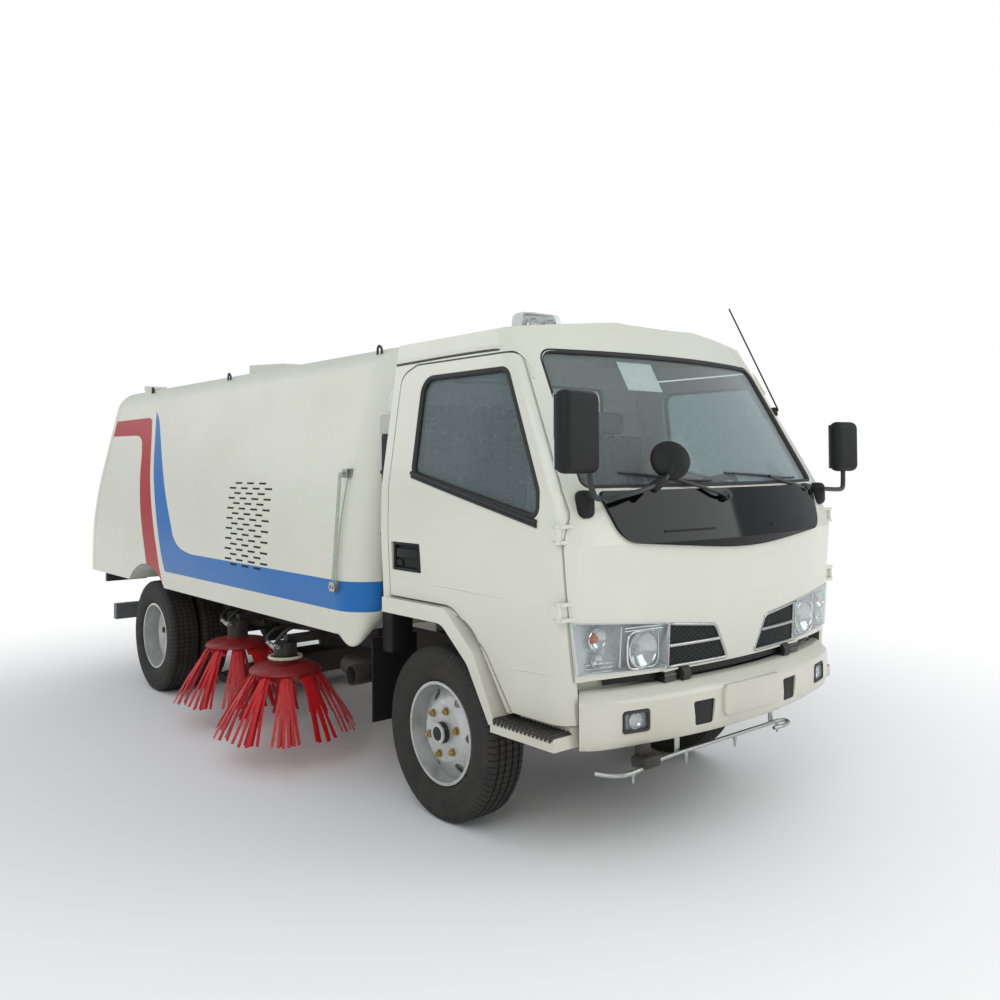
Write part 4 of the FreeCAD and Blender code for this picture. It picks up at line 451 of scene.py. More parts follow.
tyre_low, tyre_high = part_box("tyre_front_right")
tyre_y = (tyre_low.y + tyre_high.y) / 2
tyre_z = tyre_high.z / 2
whole_tread = [*TREAD, *((-u, r) for u, r in reversed(TREAD))]
front_tyre = lathe(whole_tread, (front_x, tyre_y, tyre_z), (0, 1, 0), 96)
REAR_INSET = 0.1
rear_low, rear_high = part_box("tyre_rear_right")
rear_tyres = joined(*[copy_of(front_tyre, move=(rear_x - front_x, y - tyre_y, 0))
                      for y in (rear_low.y + REAR_INSET, rear_high.y - REAR_INSET)])
front_rubber = tyre_rubber("front_tyre_rubber", front_x)
rear_rubber = tyre_rubber("rear_tyre_rubber", rear_x)
for end, shape, rubber, wheels in (("front", front_tyre, front_rubber, "wheel"),
                                   ("rear", rear_tyres, rear_rubber, "wheels")):
    for side, piece in (("left", copy_of(shape, mirror=True)), ("right", shape)):
        done(piece, f"road_tyre_{end}_{side}", f"{end}_{side}_{wheels}", rubber, 28)
        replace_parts(piece, f"tyre_{end}_{side}")

# The rims are steel in dulled silver paint. Hexagon nuts of passivated brass-yellow steel hold
# each disc, and a black pressed cap closes the front hubs.
silver = surface("silver_rim_paint", "CBCDCC", "A5A59F", 70, 0.6, (0.28, 0.5), metal=0.6,
                 dent_mm=0.05)
dress(silver, "rim_front_right", "rim_front_left", "rim_rear_right", "rim_rear_left")
nut_steel = surface("yellow_passivated_steel", "B7A36A", "7E704A", 12, 0.6, (0.3, 0.45), metal=0.9)
cap_black = surface("black_hub_paint", "1B1B1C", "3A3833", 30, 0.6, (0.35, 0.6), metal=0.2)
NUT_RING, NUT_COUNT = 0.103, 6
disc_face = tyre_y - 0.061
stud = joined(*[drum((front_x, disc_face - near, tyre_z), (front_x, disc_face - far, tyre_z), *size)
                for near, far, *size in ((0, 0.004, 0.019, 20), (0.003, 0.017, 0.0145, 6, 0.002),
                                         (0.015, 0.025, 0.008, 12, 0.001))])
nuts = []
for i in range(NUT_COUNT):
    turn = math.tau * (i + 0.25) / NUT_COUNT
    nuts.append(copy_of(stud, move=(NUT_RING * math.cos(turn), 0, NUT_RING * math.sin(turn))))
bpy.data.objects.remove(stud)
front_nuts = joined(*nuts)
rear_disc_y = rear_low.y + REAR_INSET + 0.106 - 0.009
rear_nuts = copy_of(front_nuts, move=(rear_x - front_x, rear_disc_y - disc_face, 0))
cap_shape = lathe([(0, 0.048), (-0.026, 0.046), (-0.033, 0.036), (-0.0365, 0.020), (-0.037, 0),
                   (0, 0)], (front_x, disc_face, tyre_z), (0, 1, 0), 48)
for name, shape, end, wheels, paint in (
        ("wheel_nuts_front", front_nuts, "front", "wheel", nut_steel),
        ("wheel_nuts_rear", rear_nuts, "rear", "wheels", nut_steel),
        ("hub_cap", cap_shape, "front", "wheel", cap_black)):
    for side, piece in (("left", copy_of(shape, mirror=True)), ("right", shape)):
        done(piece, f"{name}_{side}", f"{end}_{side}_{wheels}", paint)

# Frame, axles, springs, arms and tank are steel in satin black, dulled by dust.
frame_black = surface("satin_black_frame_paint", "19191A", "4A463D", 220, 0.7, (0.45, 0.7),
                      dent_mm=0.4)
dress(frame_black, "front_axle", "knuckle_right", "knuckle_left", "rear_axle", "leaf_springs",
      "chassis_frame", "drive_shaft", "arm_brackets", "broom_arm_front_right",
      "broom_arm_front_left", "broom_arm_rear_right", "broom_arm_rear_left", "suction_duct",
      "suction_nozzle", "fuel_tank", "exhaust_pipe")
iron = surface("cast_iron", "4C4C4D", "383430", 35, 0.6, (0.6, 0.8), metal=0.6, dent_mm=0.8)
dress(iron, "engine_block", "auxiliary_engine")

# The windows are bluish-grey safety glass, the side ones dulled by dust and dried rain.
def pane_glass(name, tint, film, haze, grain_mm):
    """Thin clear sheet: it lets light straight through, mirrors by angle and holds some film."""
    made = surface(name, film, tint, grain_mm, 0.5, (0.03, 0.12))
    tree = made.node_tree
    facing = add(tree, "ShaderNodeLayerWeight", {"Blend": 0.5}).outputs["Facing"]
    bent = maths(tree, "MULTIPLY_ADD", maths(tree, "POWER", facing, 5.0), 1 - HEAD_ON_SHINE,
                 HEAD_ON_SHINE)
    place = add(tree, "ShaderNodeTexCoord").outputs["Object"]
    dust = maths(tree, "MULTIPLY", noise(tree, place, 1000 / grain_mm, 8.0, 0.7), haze)
    share = maths(tree, "ADD", dust, bent, use_clamp=True)
    through = add(tree, "ShaderNodeBsdfTransparent", {"Color": linear(tint)})
    both_ways = add(tree, "ShaderNodeMixShader", {}, {
        0: share, 1: through.outputs[0], 2: tree.nodes["Principled BSDF"].outputs[0]})
    tree.links.new(both_ways.outputs[0], tree.nodes["Material Output"].inputs["Surface"])
    return made


glass = pane_glass("tinted_safety_glass", "B9C6C8", "98A6A8", 0.42, 9)
dress(glass, "door_glass_right", "door_glass_left")
screen_glass = pane_glass("laminated_windscreen_glass", "F0F5F5", "C6CFCF", 0.16, 14)
dress(screen_glass, "windscreen", "rear_window")
rubber_seal = surface("black_seal_rubber", "1C1D1D", "343430", 50, 0.5, (0.5, 0.7))


skins = {}


def meet(node, spot, way):
    """Where a ray that starts at a spot, going one way, first meets a CAD node."""
    if node not in skins:
        mesh = parts[node].data
        skins[node] = BVHTree.FromPolygons([v.co for v in mesh.vertices],
                                           [face.vertices for face in mesh.polygons])
    return skins[node].ray_cast(Vector(spot), Vector(way))[:2]


def skin(node, spot, way):
    """The place on a CAD node and its normal, met by a ray that passes a spot from outside."""
    place, normal = meet(node, Vector(spot) - Vector(way) * 3, way)
    if not place:
        raise RuntimeError(f"{node} isn't met from {spot}")
    return place, normal


def from_ahead(node, y, z):
    """The place on a CAD node that is met from ahead of the truck."""
    return skin(node, (AHEAD, y, z), (-1, 0, 0))[0]


def beside(node, way, x, z):
    """The place on a CAD node that is met from one side of the truck."""
    return skin(node, (x, 0, z), (0, -way, 0))[0]


def faces_of(node, keep):
    """A merged copy of a CAD node with only the faces that a test keeps, left in edit mode."""
    fresh(parts[node])
    bpy.ops.object.duplicate()
    shell = bpy.context.object
    shell.parent = None
    shell.matrix_world = Matrix()
    editing()
    bpy.ops.mesh.remove_doubles(threshold=CAD_MERGE)
    bpy.ops.mesh.select_mode(type="FACE")
    bpy.ops.mesh.select_all(action="DESELECT")
    bpy.ops.object.mode_set(mode="OBJECT")
    for face in shell.data.polygons:
        face.select = not keep(face)
    bpy.ops.object.mode_set(mode="EDIT")
    bpy.ops.mesh.delete(type="FACE")
    return shell


def rim_of(node, facing, radius, out=0.0):
    """A rounded strip along the edge of a pane's outer face, pushed out along the facing."""
    facing = Vector(facing)
    faces_of(node, lambda face: face.normal.dot(facing) > 0.35)
    bpy.ops.mesh.select_all(action="SELECT")
    bpy.ops.mesh.region_to_loop()
    bpy.ops.mesh.select_all(action="INVERT")
    bpy.ops.mesh.delete(type="EDGE_FACE")
    bpy.ops.mesh.select_all(action="SELECT")
    bpy.ops.mesh.remove_doubles(threshold=0.004)
    bpy.ops.transform.translate(value=facing * out)
    bpy.ops.object.mode_set(mode="OBJECT")
    bpy.ops.object.convert(target="CURVE")
    strip = bpy.context.object
    strip.data.bevel_depth = radius
    strip.data.bevel_resolution = 2
    bpy.ops.object.convert(target="MESH")
    return bpy.context.object


# Black rubber seals run round every pane. The door windows' are thick, with a sill below that
# takes the winding glass and two fine lips along it.
for side, way in SIDES:
    done(rim_of(f"door_glass_{side}", (0, way, 0), 0.0135, 0.008), f"door_window_seal_{side}",
         f"{side}_door", rubber_seal, smooth=50)
    low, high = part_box(f"door_glass_{side}")
    sill = [beside(f"door_{side}", way, low.x - 0.004 + share * (high.x - low.x),
                   1.556 - 0.186 * share) for share in (0.0, 0.25, 0.5, 0.75, 1.0)]
    for name, drop, out, thick in (("lip", 0.0, 0.003, 0.010), ("lower_lip", -0.016, 0.002, 0.007)):
        route = [point + Vector((0, way * out, drop)) for point in sill]
        done(pipe(route, thick), f"door_sill_{name}_{side}", f"{side}_door", rubber_seal, smooth=50)
done(rim_of("windscreen", (1, 0, 0), 0.013, 0.006), "windscreen_seal", "cab", rubber_seal,
     smooth=50)
done(rim_of("rear_window", (-1, 0, 0), 0.012, 0.004), "rear_window_seal", "cab",
     rubber_seal, smooth=50)

# A steel drip rail is welded over each door in the cab's enamel, and its channel is painted dark
# just under the rail.
channel_dark = surface("dark_channel_strip", "4A4A42", "2C2C28", 40, 0.6, (0.6, 0.8))
for side, way in SIDES:
    rail = [beside("cab_shell", way, x, z) + Vector((0, way * 0.004, 0))
            for x, z in ((1.405, 2.078), (1.74, 2.083), (2.0, 2.084), (2.16, 2.082),
                         (2.25, 2.062), (2.30, 2.01), (2.335, 1.94))]
    done(pipe(rail, 0.0065, 0.06), f"drip_rail_{side}", "cab", cream, smooth=60)
    channel = [point + Vector((0, -way * 0.002, -0.0105)) for point in rail[:5]]
    done(pipe(channel, 0.005, 0.06), f"drip_channel_{side}", "cab", channel_dark, smooth=60)

# The door handles are black plastic: a deep cup set in the door with a lever and a lock in it.
grained = surface("grained_black_plastic", "111112", "1E1E1E", 3, 0.5, (0.5, 0.65), ior=1.4,
                  dent_mm=0.05)
for side, way in SIDES:
    face = beside(f"door_{side}", way, 1.47, 1.175).y * way
    cup = [slab((1.500, face - 0.018, 1.113), (1.706, face - 0.012, 1.237), 0.002)]
    for low, high in (((1.497, 1.110), (1.511, 1.240)), ((1.695, 1.110), (1.709, 1.240)),
                      ((1.497, 1.226), (1.709, 1.240)), ((1.497, 1.110), (1.709, 1.124))):
        cup.append(slab((low[0], face - 0.018, low[1]), (high[0], face + 0.003, high[1]), 0.005, 3))
    cup.append(slab((1.520, face - 0.012, 1.168), (1.688, face + 0.001, 1.212), 0.006, 3))
    cup.append(slab((1.506, face - 0.012, 1.130), (1.560, face - 0.004, 1.160), 0.004, 3))
    handle = joined(*cup)
    if way < 0:
        handle = flipped(handle)
    done(handle, f"door_handle_{side}", f"{side}_door", grained, smooth=40)

# The panel under the windscreen is black plastic under clear lacquer, with a shallow moulded slot
# on each side; the wiper spindles come through it.
gloss_black = surface("gloss_black_panel", "050506", "0B0C0D", 120, 0.4, (0.05, 0.1), ior=1.36)
dress(gloss_black, "front_panel")
for side, way in SIDES:
    route = [from_ahead("front_panel", way * y, 1.325) for y in (0.2, 0.3, 0.4, 0.48)]
    done(pipe(route, 0.0045, 0.02), f"panel_slot_{side}", "cab", grained)

# The headlamps are clear polycarbonate covers over metallised housings: a round main reflector in
# a squared frame, and turn signal over side light in a ribbed bay at the corner.
clear_lens = pane_glass("clear_polycarbonate", "F4F6F6", "DDE2E4", 0.05, 20)
mirror_film = surface("metallised_reflector", "E2E4E4", "BEC1C1", 9, 0.5, (0.05, 0.2), metal=1.0)
amber = surface("amber_bulb_glass", "E0701C", "B4560E", 6, 0.4, (0.05, 0.15))
bulb_glass = surface("frosted_bulb_glass", "E6E6E0", "CFCFC8", 6, 0.4, (0.1, 0.3))
housing_grey = surface("pale_lamp_housing", "DADDDD", "C9CCCC", 60, 0.5, (0.2, 0.35), metal=0.3)


def lamp_copy(way, front):
    """One headlamp's outer faces, or its other faces, from a merged copy of the node."""
    outer_way = Vector((0.75, way * 0.66, 0))
    shell = faces_of("headlamps", lambda face: face.center.y * way >= 0 and (
        face.normal.dot(outer_way) > 0.55) == front)
    bpy.ops.object.mode_set(mode="OBJECT")
    return shell


def thickened(piece, thick):
    """Gives an open sheet a thickness."""
    return modified(piece, "SOLIDIFY", thickness=thick)


def bowl(spot, facing, radius, depth):
    """A reflector's bowl with its mouth at a spot and a rolled rim."""
    profile = [(0.002, radius * 1.08), (0.005, radius * 1.03)]
    for step in range(9):
        share = step / 8
        profile.append((-depth * share, radius * math.sqrt(1 - share * 0.985)))
    return lathe(profile, spot, facing, 32)


def squared(value):
    """A sine or cosine swollen so that a circle turns into a soft square."""
    return math.copysign(abs(value) ** 0.45, value)


lenses = []
for side, way in SIDES:
    lens = thickened(lamp_copy(way, True), 0.003)
    lenses.append(done(lens, f"headlamp_lens_{side}", "cab", clear_lens))
    housing = thickened(lamp_copy(way, False), 0.002)
    done(housing, f"headlamp_housing_{side}", "cab", housing_grey)
    bays = [from_ahead("headlamps", way * 0.668, z) - Vector((0.008, 0, 0))
            for z in (0.965, 0.88, 0.81)]
    done(pipe(bays, 0.005), f"headlamp_divider_{side}", "cab", mirror_film, smooth=60)
    for level, z in enumerate((0.800, 0.816, 0.832, 0.945, 0.957)):
        rib = [from_ahead("headlamps", way * y, z) - Vector((0.010, 0, 0))
               for y in ((0.47, 0.53, 0.59, 0.65) if level > 2 else (0.70, 0.76, 0.82))]
        done(pipe(rib, 0.0035), f"headlamp_rib_{level}_{side}", "cab", mirror_film, smooth=60)
    for name, y, z, radius, depth, bulb, kind in (
            ("main", 0.560, 0.868, 0.071, 0.026, 0.013, bulb_glass),
            ("turn", 0.770, 0.925, 0.042, 0.020, 0.015, amber),
            ("side", 0.768, 0.846, 0.028, 0.014, 0.008, bulb_glass)):
        spot, normal = skin("headlamps", (AHEAD, way * y, z), (-1, 0, 0))
        facing = (normal + Vector((1.6, 0, 0))).normalized()
        mouth = spot - facing * 0.010
        if name == "main":
            aside = Vector((0, 0, 1)).cross(facing).normalized()
            lift = facing.cross(aside).normalized()
            turns = [math.tau * step / 40 for step in range(40)]
            outline = [mouth + aside * radius * 1.18 * squared(math.cos(turn))
                       + lift * radius * 1.02 * squared(math.sin(turn)) for turn in turns]
            frame_ring = pipe([*outline, outline[0], outline[1]], 0.004)
            done(frame_ring, f"headlamp_frame_{side}", "cab", mirror_film, smooth=60)
        done(bowl(mouth, facing, radius, depth), f"headlamp_{name}_bowl_{side}", "cab",
             mirror_film, smooth=60)
        lamp = lathe([(-depth, 0), (-depth, bulb), (-0.010, bulb), (-0.004, bulb * 0.6),
                      (-0.002, 0)], mouth, facing, 20)
        done(lamp, f"headlamp_{name}_bulb_{side}", "cab", kind, smooth=60)
for lens in lenses:
    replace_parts(lens, "headlamps")

# Each grille is a silver-painted frame with one bar across black expanded mesh.
dark_mesh = surface("black_grille_paint", "08080A", "141414", 20, 0.5, (0.5, 0.7))
dress(dark_mesh, "grilles")
silver_trim = surface("silver_trim_paint", "B4B6B4", "989A97", 40, 0.5, (0.2, 0.35), metal=0.8)
wire_black = surface("black_mesh_paint", "3A3B3B", "222222", 15, 0.5, (0.35, 0.5), metal=0.3)
done(rim_of("grilles", (1, 0, 0), 0.0075, 0.004), "grille_frames", "cab", silver_trim,
     smooth=50)
WIRE_PITCH, WIRE_SLOPE, WIRE_TICK = 0.020, 0.62, 0.0145
for side, way in SIDES:
    route = [from_ahead("grilles", way * y, 0.868) + Vector((0.004, 0, 0))
             for y in (0.434, 0.38, 0.32, 0.26, 0.2, 0.15)]
    done(pipe(route, 0.0075), f"grille_bar_{side}", "cab", silver_trim, smooth=50)
    wires = []
    for slope in (-1, 1):
        for step in range(-9, 16):
            run = []
            for tick in range(25):
                y = 0.10 + tick * WIRE_TICK
                z = 0.775 + step * WIRE_PITCH + slope * (y - 0.28) * WIRE_SLOPE
                place = meet("grilles", Vector((AHEAD, way * y, z)), (-1, 0, 0))[0]
                if place and place.x > 2.6:
                    run.append(place + Vector((0.002, 0, 0)))
            if len(run) > 1:
                wires.append(pipe(run[::2] if len(run) > 3 else run, 0.0016, 0, 0))
    done(joined(*wires), f"grille_mesh_{side}", "cab", wire_black)


def swept(profile, route):
    """An upright profile of (outwards, height) carried along a route of (x, y) places."""
    fresh()
    bpy.ops.curve.primitive_bezier_circle_add()
    section = bpy.context.object
    section.data.splines.clear()
    section.data.dimensions = "2D"
    spline = section.data.splines.new("POLY")
    spline.points.add(len(profile) - 1)
    for place, (out, up) in zip(spline.points, profile):
        place.co = (out, up, 0, 1)
    spline.use_cyclic_u = True
    bpy.ops.curve.primitive_nurbs_path_add()
    path_curve = bpy.context.object
    path_curve.data.splines.clear()
    spline = path_curve.data.splines.new("POLY")
    spline.points.add(len(route) - 1)
    for place, (x, y) in zip(spline.points, route):
        place.co = (x, y, 0, 1)
    path_curve.data.twist_mode = "Z_UP"
    path_curve.data.bevel_mode = "OBJECT"
    path_curve.data.bevel_object = section
    path_curve.data.use_fill_caps = True
    bpy.ops.object.convert(target="MESH")
    made = bpy.context.object
    bpy.data.objects.remove(section)
    fresh(made)
    editing()
    bpy.ops.mesh.fill_holes(sides=0)
    return settled()


def cut_with(piece, *tools):
    """Cuts tools out of a piece and removes them."""
    for tool in tools:
        modified(piece, "BOOLEAN", object=tool, solver="EXACT")
        bpy.data.objects.remove(tool)
    return piece


# The bumper is one steel pressing in the cab's enamel: a sloping shoulder over a flat face that
# tucks under at the bottom, vents and fog lamps let into it, and a blank pad for a plate.
BUMPER_MID, NOSE_STEPS, NOSE_TURN = 0.53, 30, 69.0
nose_line = []
for step in range(-NOSE_STEPS, NOSE_STEPS + 1):
    turn = math.radians(NOSE_TURN * step / NOSE_STEPS)
    outward = Vector((math.cos(turn), math.sin(turn), 0))
    spot = skin("bumper", Vector((2.3, 0, BUMPER_MID)), -outward)[0]
    nose_line.append((spot.x, spot.y))
low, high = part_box("bumper")
press = [(-0.085, high.z - 0.001), (-0.052, high.z - 0.001), (-0.040, high.z - 0.005),
         (-0.010, high.z - 0.034), (-0.003, high.z - 0.044), (0.0, high.z - 0.056),
         (-0.001, low.z + 0.085), (-0.006, low.z + 0.045), (-0.016, low.z + 0.018),
         (-0.034, low.z + 0.003), (-0.085, low.z)]
bumper = swept(press, nose_line)
pocket_black = surface("black_pocket_plastic", "0D0D0E", "1B1B1B", 12, 0.5, (0.5, 0.7))
bezel_black = surface("dark_bezel_plastic", "2B2C2C", "3B3B39", 12, 0.5, (0.5, 0.65))


def bumper_spot(y, z):
    """Where the bumper's face stands, and which way it faces in plan."""
    hits = [from_ahead("bumper", y + step, BUMPER_MID) for step in (-0.03, 0.03)]
    run = hits[1] - hits[0]
    facing = Vector((run.y, -run.x, 0)).normalized()
    return Vector(((hits[0].x + hits[1].x) / 2, y, z)), facing, Vector((-facing.y, facing.x, 0))


def faced_plate(y, z, outline, ahead, depth, soft=0.003):
    """A soft-edged plate square to the bumper at a place, its outline in (aside, up)."""
    spot, facing, aside = bumper_spot(y, z)
    corners = [spot + facing * ahead + aside * u + Vector((0, 0, v)) for u, v in outline]
    return modified(plate(corners, -facing * depth), "BEVEL", width=soft, segments=2,
                    limit_method="ANGLE")


def oblong(wide, high, cut_corner):
    """An oblong's half sizes with its corners cut."""
    w, h, c = wide, high, cut_corner
    return [(-w, -h + c), (-w + c, -h), (w - c, -h), (w, -h + c), (w, h - c), (w - c, h),
            (-w + c, h), (-w, h - c)]


vent = [(-0.049, -0.043), (-0.042, -0.050), (0.042, -0.050), (0.049, -0.043), (0.060, 0.040),
        (0.054, 0.047), (-0.054, 0.047), (-0.060, 0.040)]
VENT_Y, VENT_Z, FOG_Y, FOG_Z = 0.299, 0.600, 0.636, 0.609
fog_mouth = oblong(0.052, 0.032, 0.006)
tools = []
for side, way in SIDES:
    tools.append(faced_plate(way * VENT_Y, VENT_Z, vent, 0.05, 0.110, 0.004))
    tools.append(faced_plate(way * FOG_Y, FOG_Z, oblong(0.064, 0.044, 0.010), 0.05, 0.090, 0.004))
done(cut_with(bumper, *tools), "bumper_pressing", "chassis", cream, smooth=30)
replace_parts(bumper, "bumper")
pad = faced_plate(0, 0.628, oblong(0.195, 0.062, 0.016), 0.007, 0.020, 0.004)
done(pad, "bumper_plate_pad", "chassis", cream)
for side, way in SIDES:
    done(faced_plate(way * VENT_Y, VENT_Z, oblong(0.064, 0.052, 0.006), -0.009, 0.047),
         f"bumper_vent_{side}", "chassis", pocket_black)
    fog_y = way * FOG_Y
    bezel = faced_plate(fog_y, FOG_Z, oblong(0.062, 0.042, 0.009), 0.003, 0.040)
    cut_with(bezel, faced_plate(fog_y, FOG_Z, fog_mouth, 0.02, 0.050))
    done(bezel, f"fog_bezel_{side}", "chassis", bezel_black)
    bulb_spot, facing, aside = bumper_spot(fog_y, FOG_Z)
    done(bowl(bulb_spot - facing * 0.012, facing, 0.030, 0.018), f"fog_bowl_{side}", "chassis",
         mirror_film, smooth=60)
    done(faced_plate(fog_y, FOG_Z, fog_mouth, -0.019, 0.010), f"fog_backing_{side}", "chassis",
         housing_grey)
    fog = faced_plate(fog_y, FOG_Z, fog_mouth, -0.004, 0.004)
    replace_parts(done(fog, f"fog_lens_{side}", "chassis", clear_lens), "lamps")

# Behind the bumper a black valance closes the gap under the cab's nose.
valance_line = [(x - 0.079, y * 0.955) for x, y in nose_line[3:-3]]
valance = swept([(-0.006, 0.739), (0.0, 0.739), (0.0, 0.772), (-0.006, 0.772)], valance_line)
done(valance, "nose_valance", "cab", pocket_black)

# The tail lamps are three-colour plastic clusters on black steel boxes under the body.
red_lens = surface("red_lamp_plastic", "A3141B", "7C0E14", 12, 0.4, (0.05, 0.2), coat=0.5)
amber_lens = surface("amber_lamp_plastic", "D9791E", "B55F12", 12, 0.4, (0.05, 0.2), coat=0.5)
pale_lens = surface("white_lamp_plastic", "D8DADA", "BFC2C2", 12, 0.4, (0.05, 0.2), coat=0.5)
lamp_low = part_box("lamps")[0]
for side, way in SIDES:
    y0, y1 = 0.58, 0.90
    box = slab((lamp_low.x + 0.014, y0 * way if way > 0 else -y1, 0.667),
               (lamp_low.x + 0.060, y1 if way > 0 else -y0, 0.757), 0.006, 3)
    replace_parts(done(box, f"tail_lamp_box_{side}", "chassis", bezel_black), "lamps")
    for name, share_low, share_high, kind in (("stop", 0.0, 0.42, red_lens),
                                              ("back", 0.42, 0.60, pale_lens),
                                              ("turn", 0.60, 1.0, amber_lens)):
        a, b = (y0 + 0.008 + (y1 - y0 - 0.016) * s for s in (share_low, share_high))
        low_y, high_y = (a, b) if way > 0 else (-b, -a)
        lens = slab((lamp_low.x + 0.001, low_y + 0.001, 0.674),
                    (lamp_low.x + 0.018, high_y - 0.001, 0.750), 0.004, 3)
        done(lens, f"tail_lamp_{name}_{side}", "chassis", kind)

# The mirrors have deep rounded black heads on bent steel tubes, from pods bolted to the pillars. A
# second, round head on a long arm looks down past the nose on the right.
mirror_glass = surface("silvered_mirror_glass", "C9CFD2", "AFB7BA", 60, 0.3, (0.02, 0.06),
                       metal=1.0)
tube_black = surface("black_coated_tube", "161617", "2C2B29", 60, 0.5, (0.35, 0.5), coat=0.3)


def head(low, high, lean):
    """A mirror's head: a rounded block, and a flat glass towards the driver."""
    low, high = Vector(low), Vector(high)
    made = [slab(low, high, 0.034, 6),
            slab((low.x - 0.002, low.y + 0.014, low.z + 0.014),
                 (low.x + 0.004, high.y - 0.014, high.z - 0.014), 0.002)]
    for piece in made:
        fresh(piece)
        editing()
        bpy.ops.transform.rotate(value=-lean, orient_axis="Z", center_override=(low + high) / 2)
        bpy.ops.object.mode_set(mode="OBJECT")
    return made


right_head, right_glass = head((2.668, -1.030, 1.557), (2.742, -0.822, 1.862), 0.10)
left_head, left_glass = head((2.640, 0.885, 1.545), (2.712, 1.040, 1.790), -0.22)
for side, way, body, back, bend in (
        ("right", -1, right_head, right_glass,
         [(2.700, -0.862, 1.575), (2.702, -0.858, 1.520), (2.704, -0.840, 1.472),
          (2.700, -0.812, 1.462), (2.680, -0.786, 1.462)]),
        ("left", 1, left_head, left_glass,
         [(2.676, 0.955, 1.560), (2.676, 0.955, 1.500), (2.676, 0.950, 1.458),
          (2.674, 0.900, 1.456), (2.668, 0.780, 1.462)])):
    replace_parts(done(body, f"mirror_head_{side}", "cab", grained, 50), "mirrors")
    done(back, f"mirror_glass_{side}", "cab", mirror_glass)
    done(pipe(bend, 0.0115, 0.03), f"mirror_arm_{side}", "cab", tube_black, smooth=60)
    base = from_ahead("cab_shell", way * 0.800, 1.440)
    pod = slab((base.x - 0.030, way * 0.806 - 0.034, 1.385),
               (base.x + 0.040, way * 0.806 + 0.034, 1.492), 0.026, 5)
    done(pod, f"mirror_pod_{side}", "cab", grained, smooth=50)
round_arm = pipe([(2.690, -0.800, 1.462), (2.726, -0.760, 1.462), (2.752, -0.640, 1.486),
                  (2.752, -0.500, 1.520), (2.748, -0.462, 1.556), (2.745, -0.436, 1.590)],
                 0.010, 0.04)
done(round_arm, "round_mirror_arm", "cab", tube_black, smooth=60)
round_head = lathe([(-0.022, 0), (-0.020, 0.045), (-0.010, 0.072), (0.0, 0.080), (0.008, 0.082),
                    (0.010, 0.079), (0.010, 0)], (2.735, -0.436, 1.606),
                   Vector((-0.80, 0.50, -0.33)).normalized(), 40)
done(round_head, "round_mirror_head", "cab", grained, smooth=50)
clamp = joined(drum((2.742, -0.560, 1.494), (2.752, -0.500, 1.530), 0.022, 20, 0.004),
               drum((2.748, -0.470, 1.545), (2.748, -0.445, 1.590), 0.016, 20, 0.003))
done(clamp, "round_mirror_clamp", "cab", grained, smooth=50)

# The two wipers lie to the truck's right at rest: black steel arms on splined spindles, with
# bridged blades that hold thin rubber edges against the glass.
for number, (pivot_y, pivot_z, tip_y, tip_z) in enumerate(
        ((-0.085, 1.452, -0.615, 1.560), (0.640, 1.470, -0.020, 1.545)), start=1):
    base = from_ahead("front_panel", min(pivot_y, 0.60), 1.440).x
    base -= 0.030 if pivot_y > 0.3 else 0.0
    mid_y, mid_z = (pivot_y + tip_y) / 2, (pivot_z + tip_z) / 2 + 0.022
    middle = from_ahead("windscreen", mid_y, max(mid_z, 1.53))
    spindle = joined(
        drum((base - 0.012, pivot_y, pivot_z), (base + 0.022, pivot_y, pivot_z + 0.004),
             0.020, 20, 0.004),
        drum((base + 0.020, pivot_y, pivot_z + 0.003), (base + 0.030, pivot_y, pivot_z + 0.004),
             0.012, 16, 0.002))
    arm = pipe([(base + 0.016, pivot_y, pivot_z),
                (base + 0.018, pivot_y * 0.8 + mid_y * 0.2, pivot_z * 0.8 + mid_z * 0.2),
                (middle.x + 0.034, middle.y, middle.z)], 0.0075, 0.02)
    blade = []
    for share in (0.0, 0.15, 0.3, 0.45, 0.6, 0.75, 0.9, 1.0):
        y = mid_y + (share - 0.5) * (tip_y - pivot_y) * 0.92
        z = mid_z + (share - 0.5) * (tip_z - pivot_z) * 0.55
        blade.append(from_ahead("windscreen", y, max(z, 1.520)) + Vector((0.008, 0, 0)))
    rubber = pipe(blade, 0.0045, 0.02)
    bridge = pipe([blade[1] + Vector((0.004, 0, 0)), blade[2] + Vector((0.014, 0, 0.002)),
                   (blade[3] + blade[4]) / 2 + Vector((0.022, 0, 0.004)),
                   blade[5] + Vector((0.014, 0, 0.002)), blade[6] + Vector((0.004, 0, 0))],
                  0.0045, 0.03)
    wiper = done(joined(spindle, arm, rubber, bridge), f"wiper_{number}", "cab", tube_black,
                 smooth=50)
    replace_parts(wiper, "wipers")

# The roof beacon has a white plastic housing behind and a clear faceted lens with two lamps.
low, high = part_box("beacon")
mid_x = low.x + 0.075


def beacon_block(corners, depth):
    """A block along the beacon, its half outline given as (inwards, height) from the foot up."""
    outline = [(low.y + corners[0][0], corners[0][1]),
               *((high.y - inset, z) for inset, z in corners),
               *((low.y + inset, z) for inset, z in reversed(corners[1:]))]
    return plate([(mid_x, y, z) for y, z in outline], Vector((depth, 0, 0)))


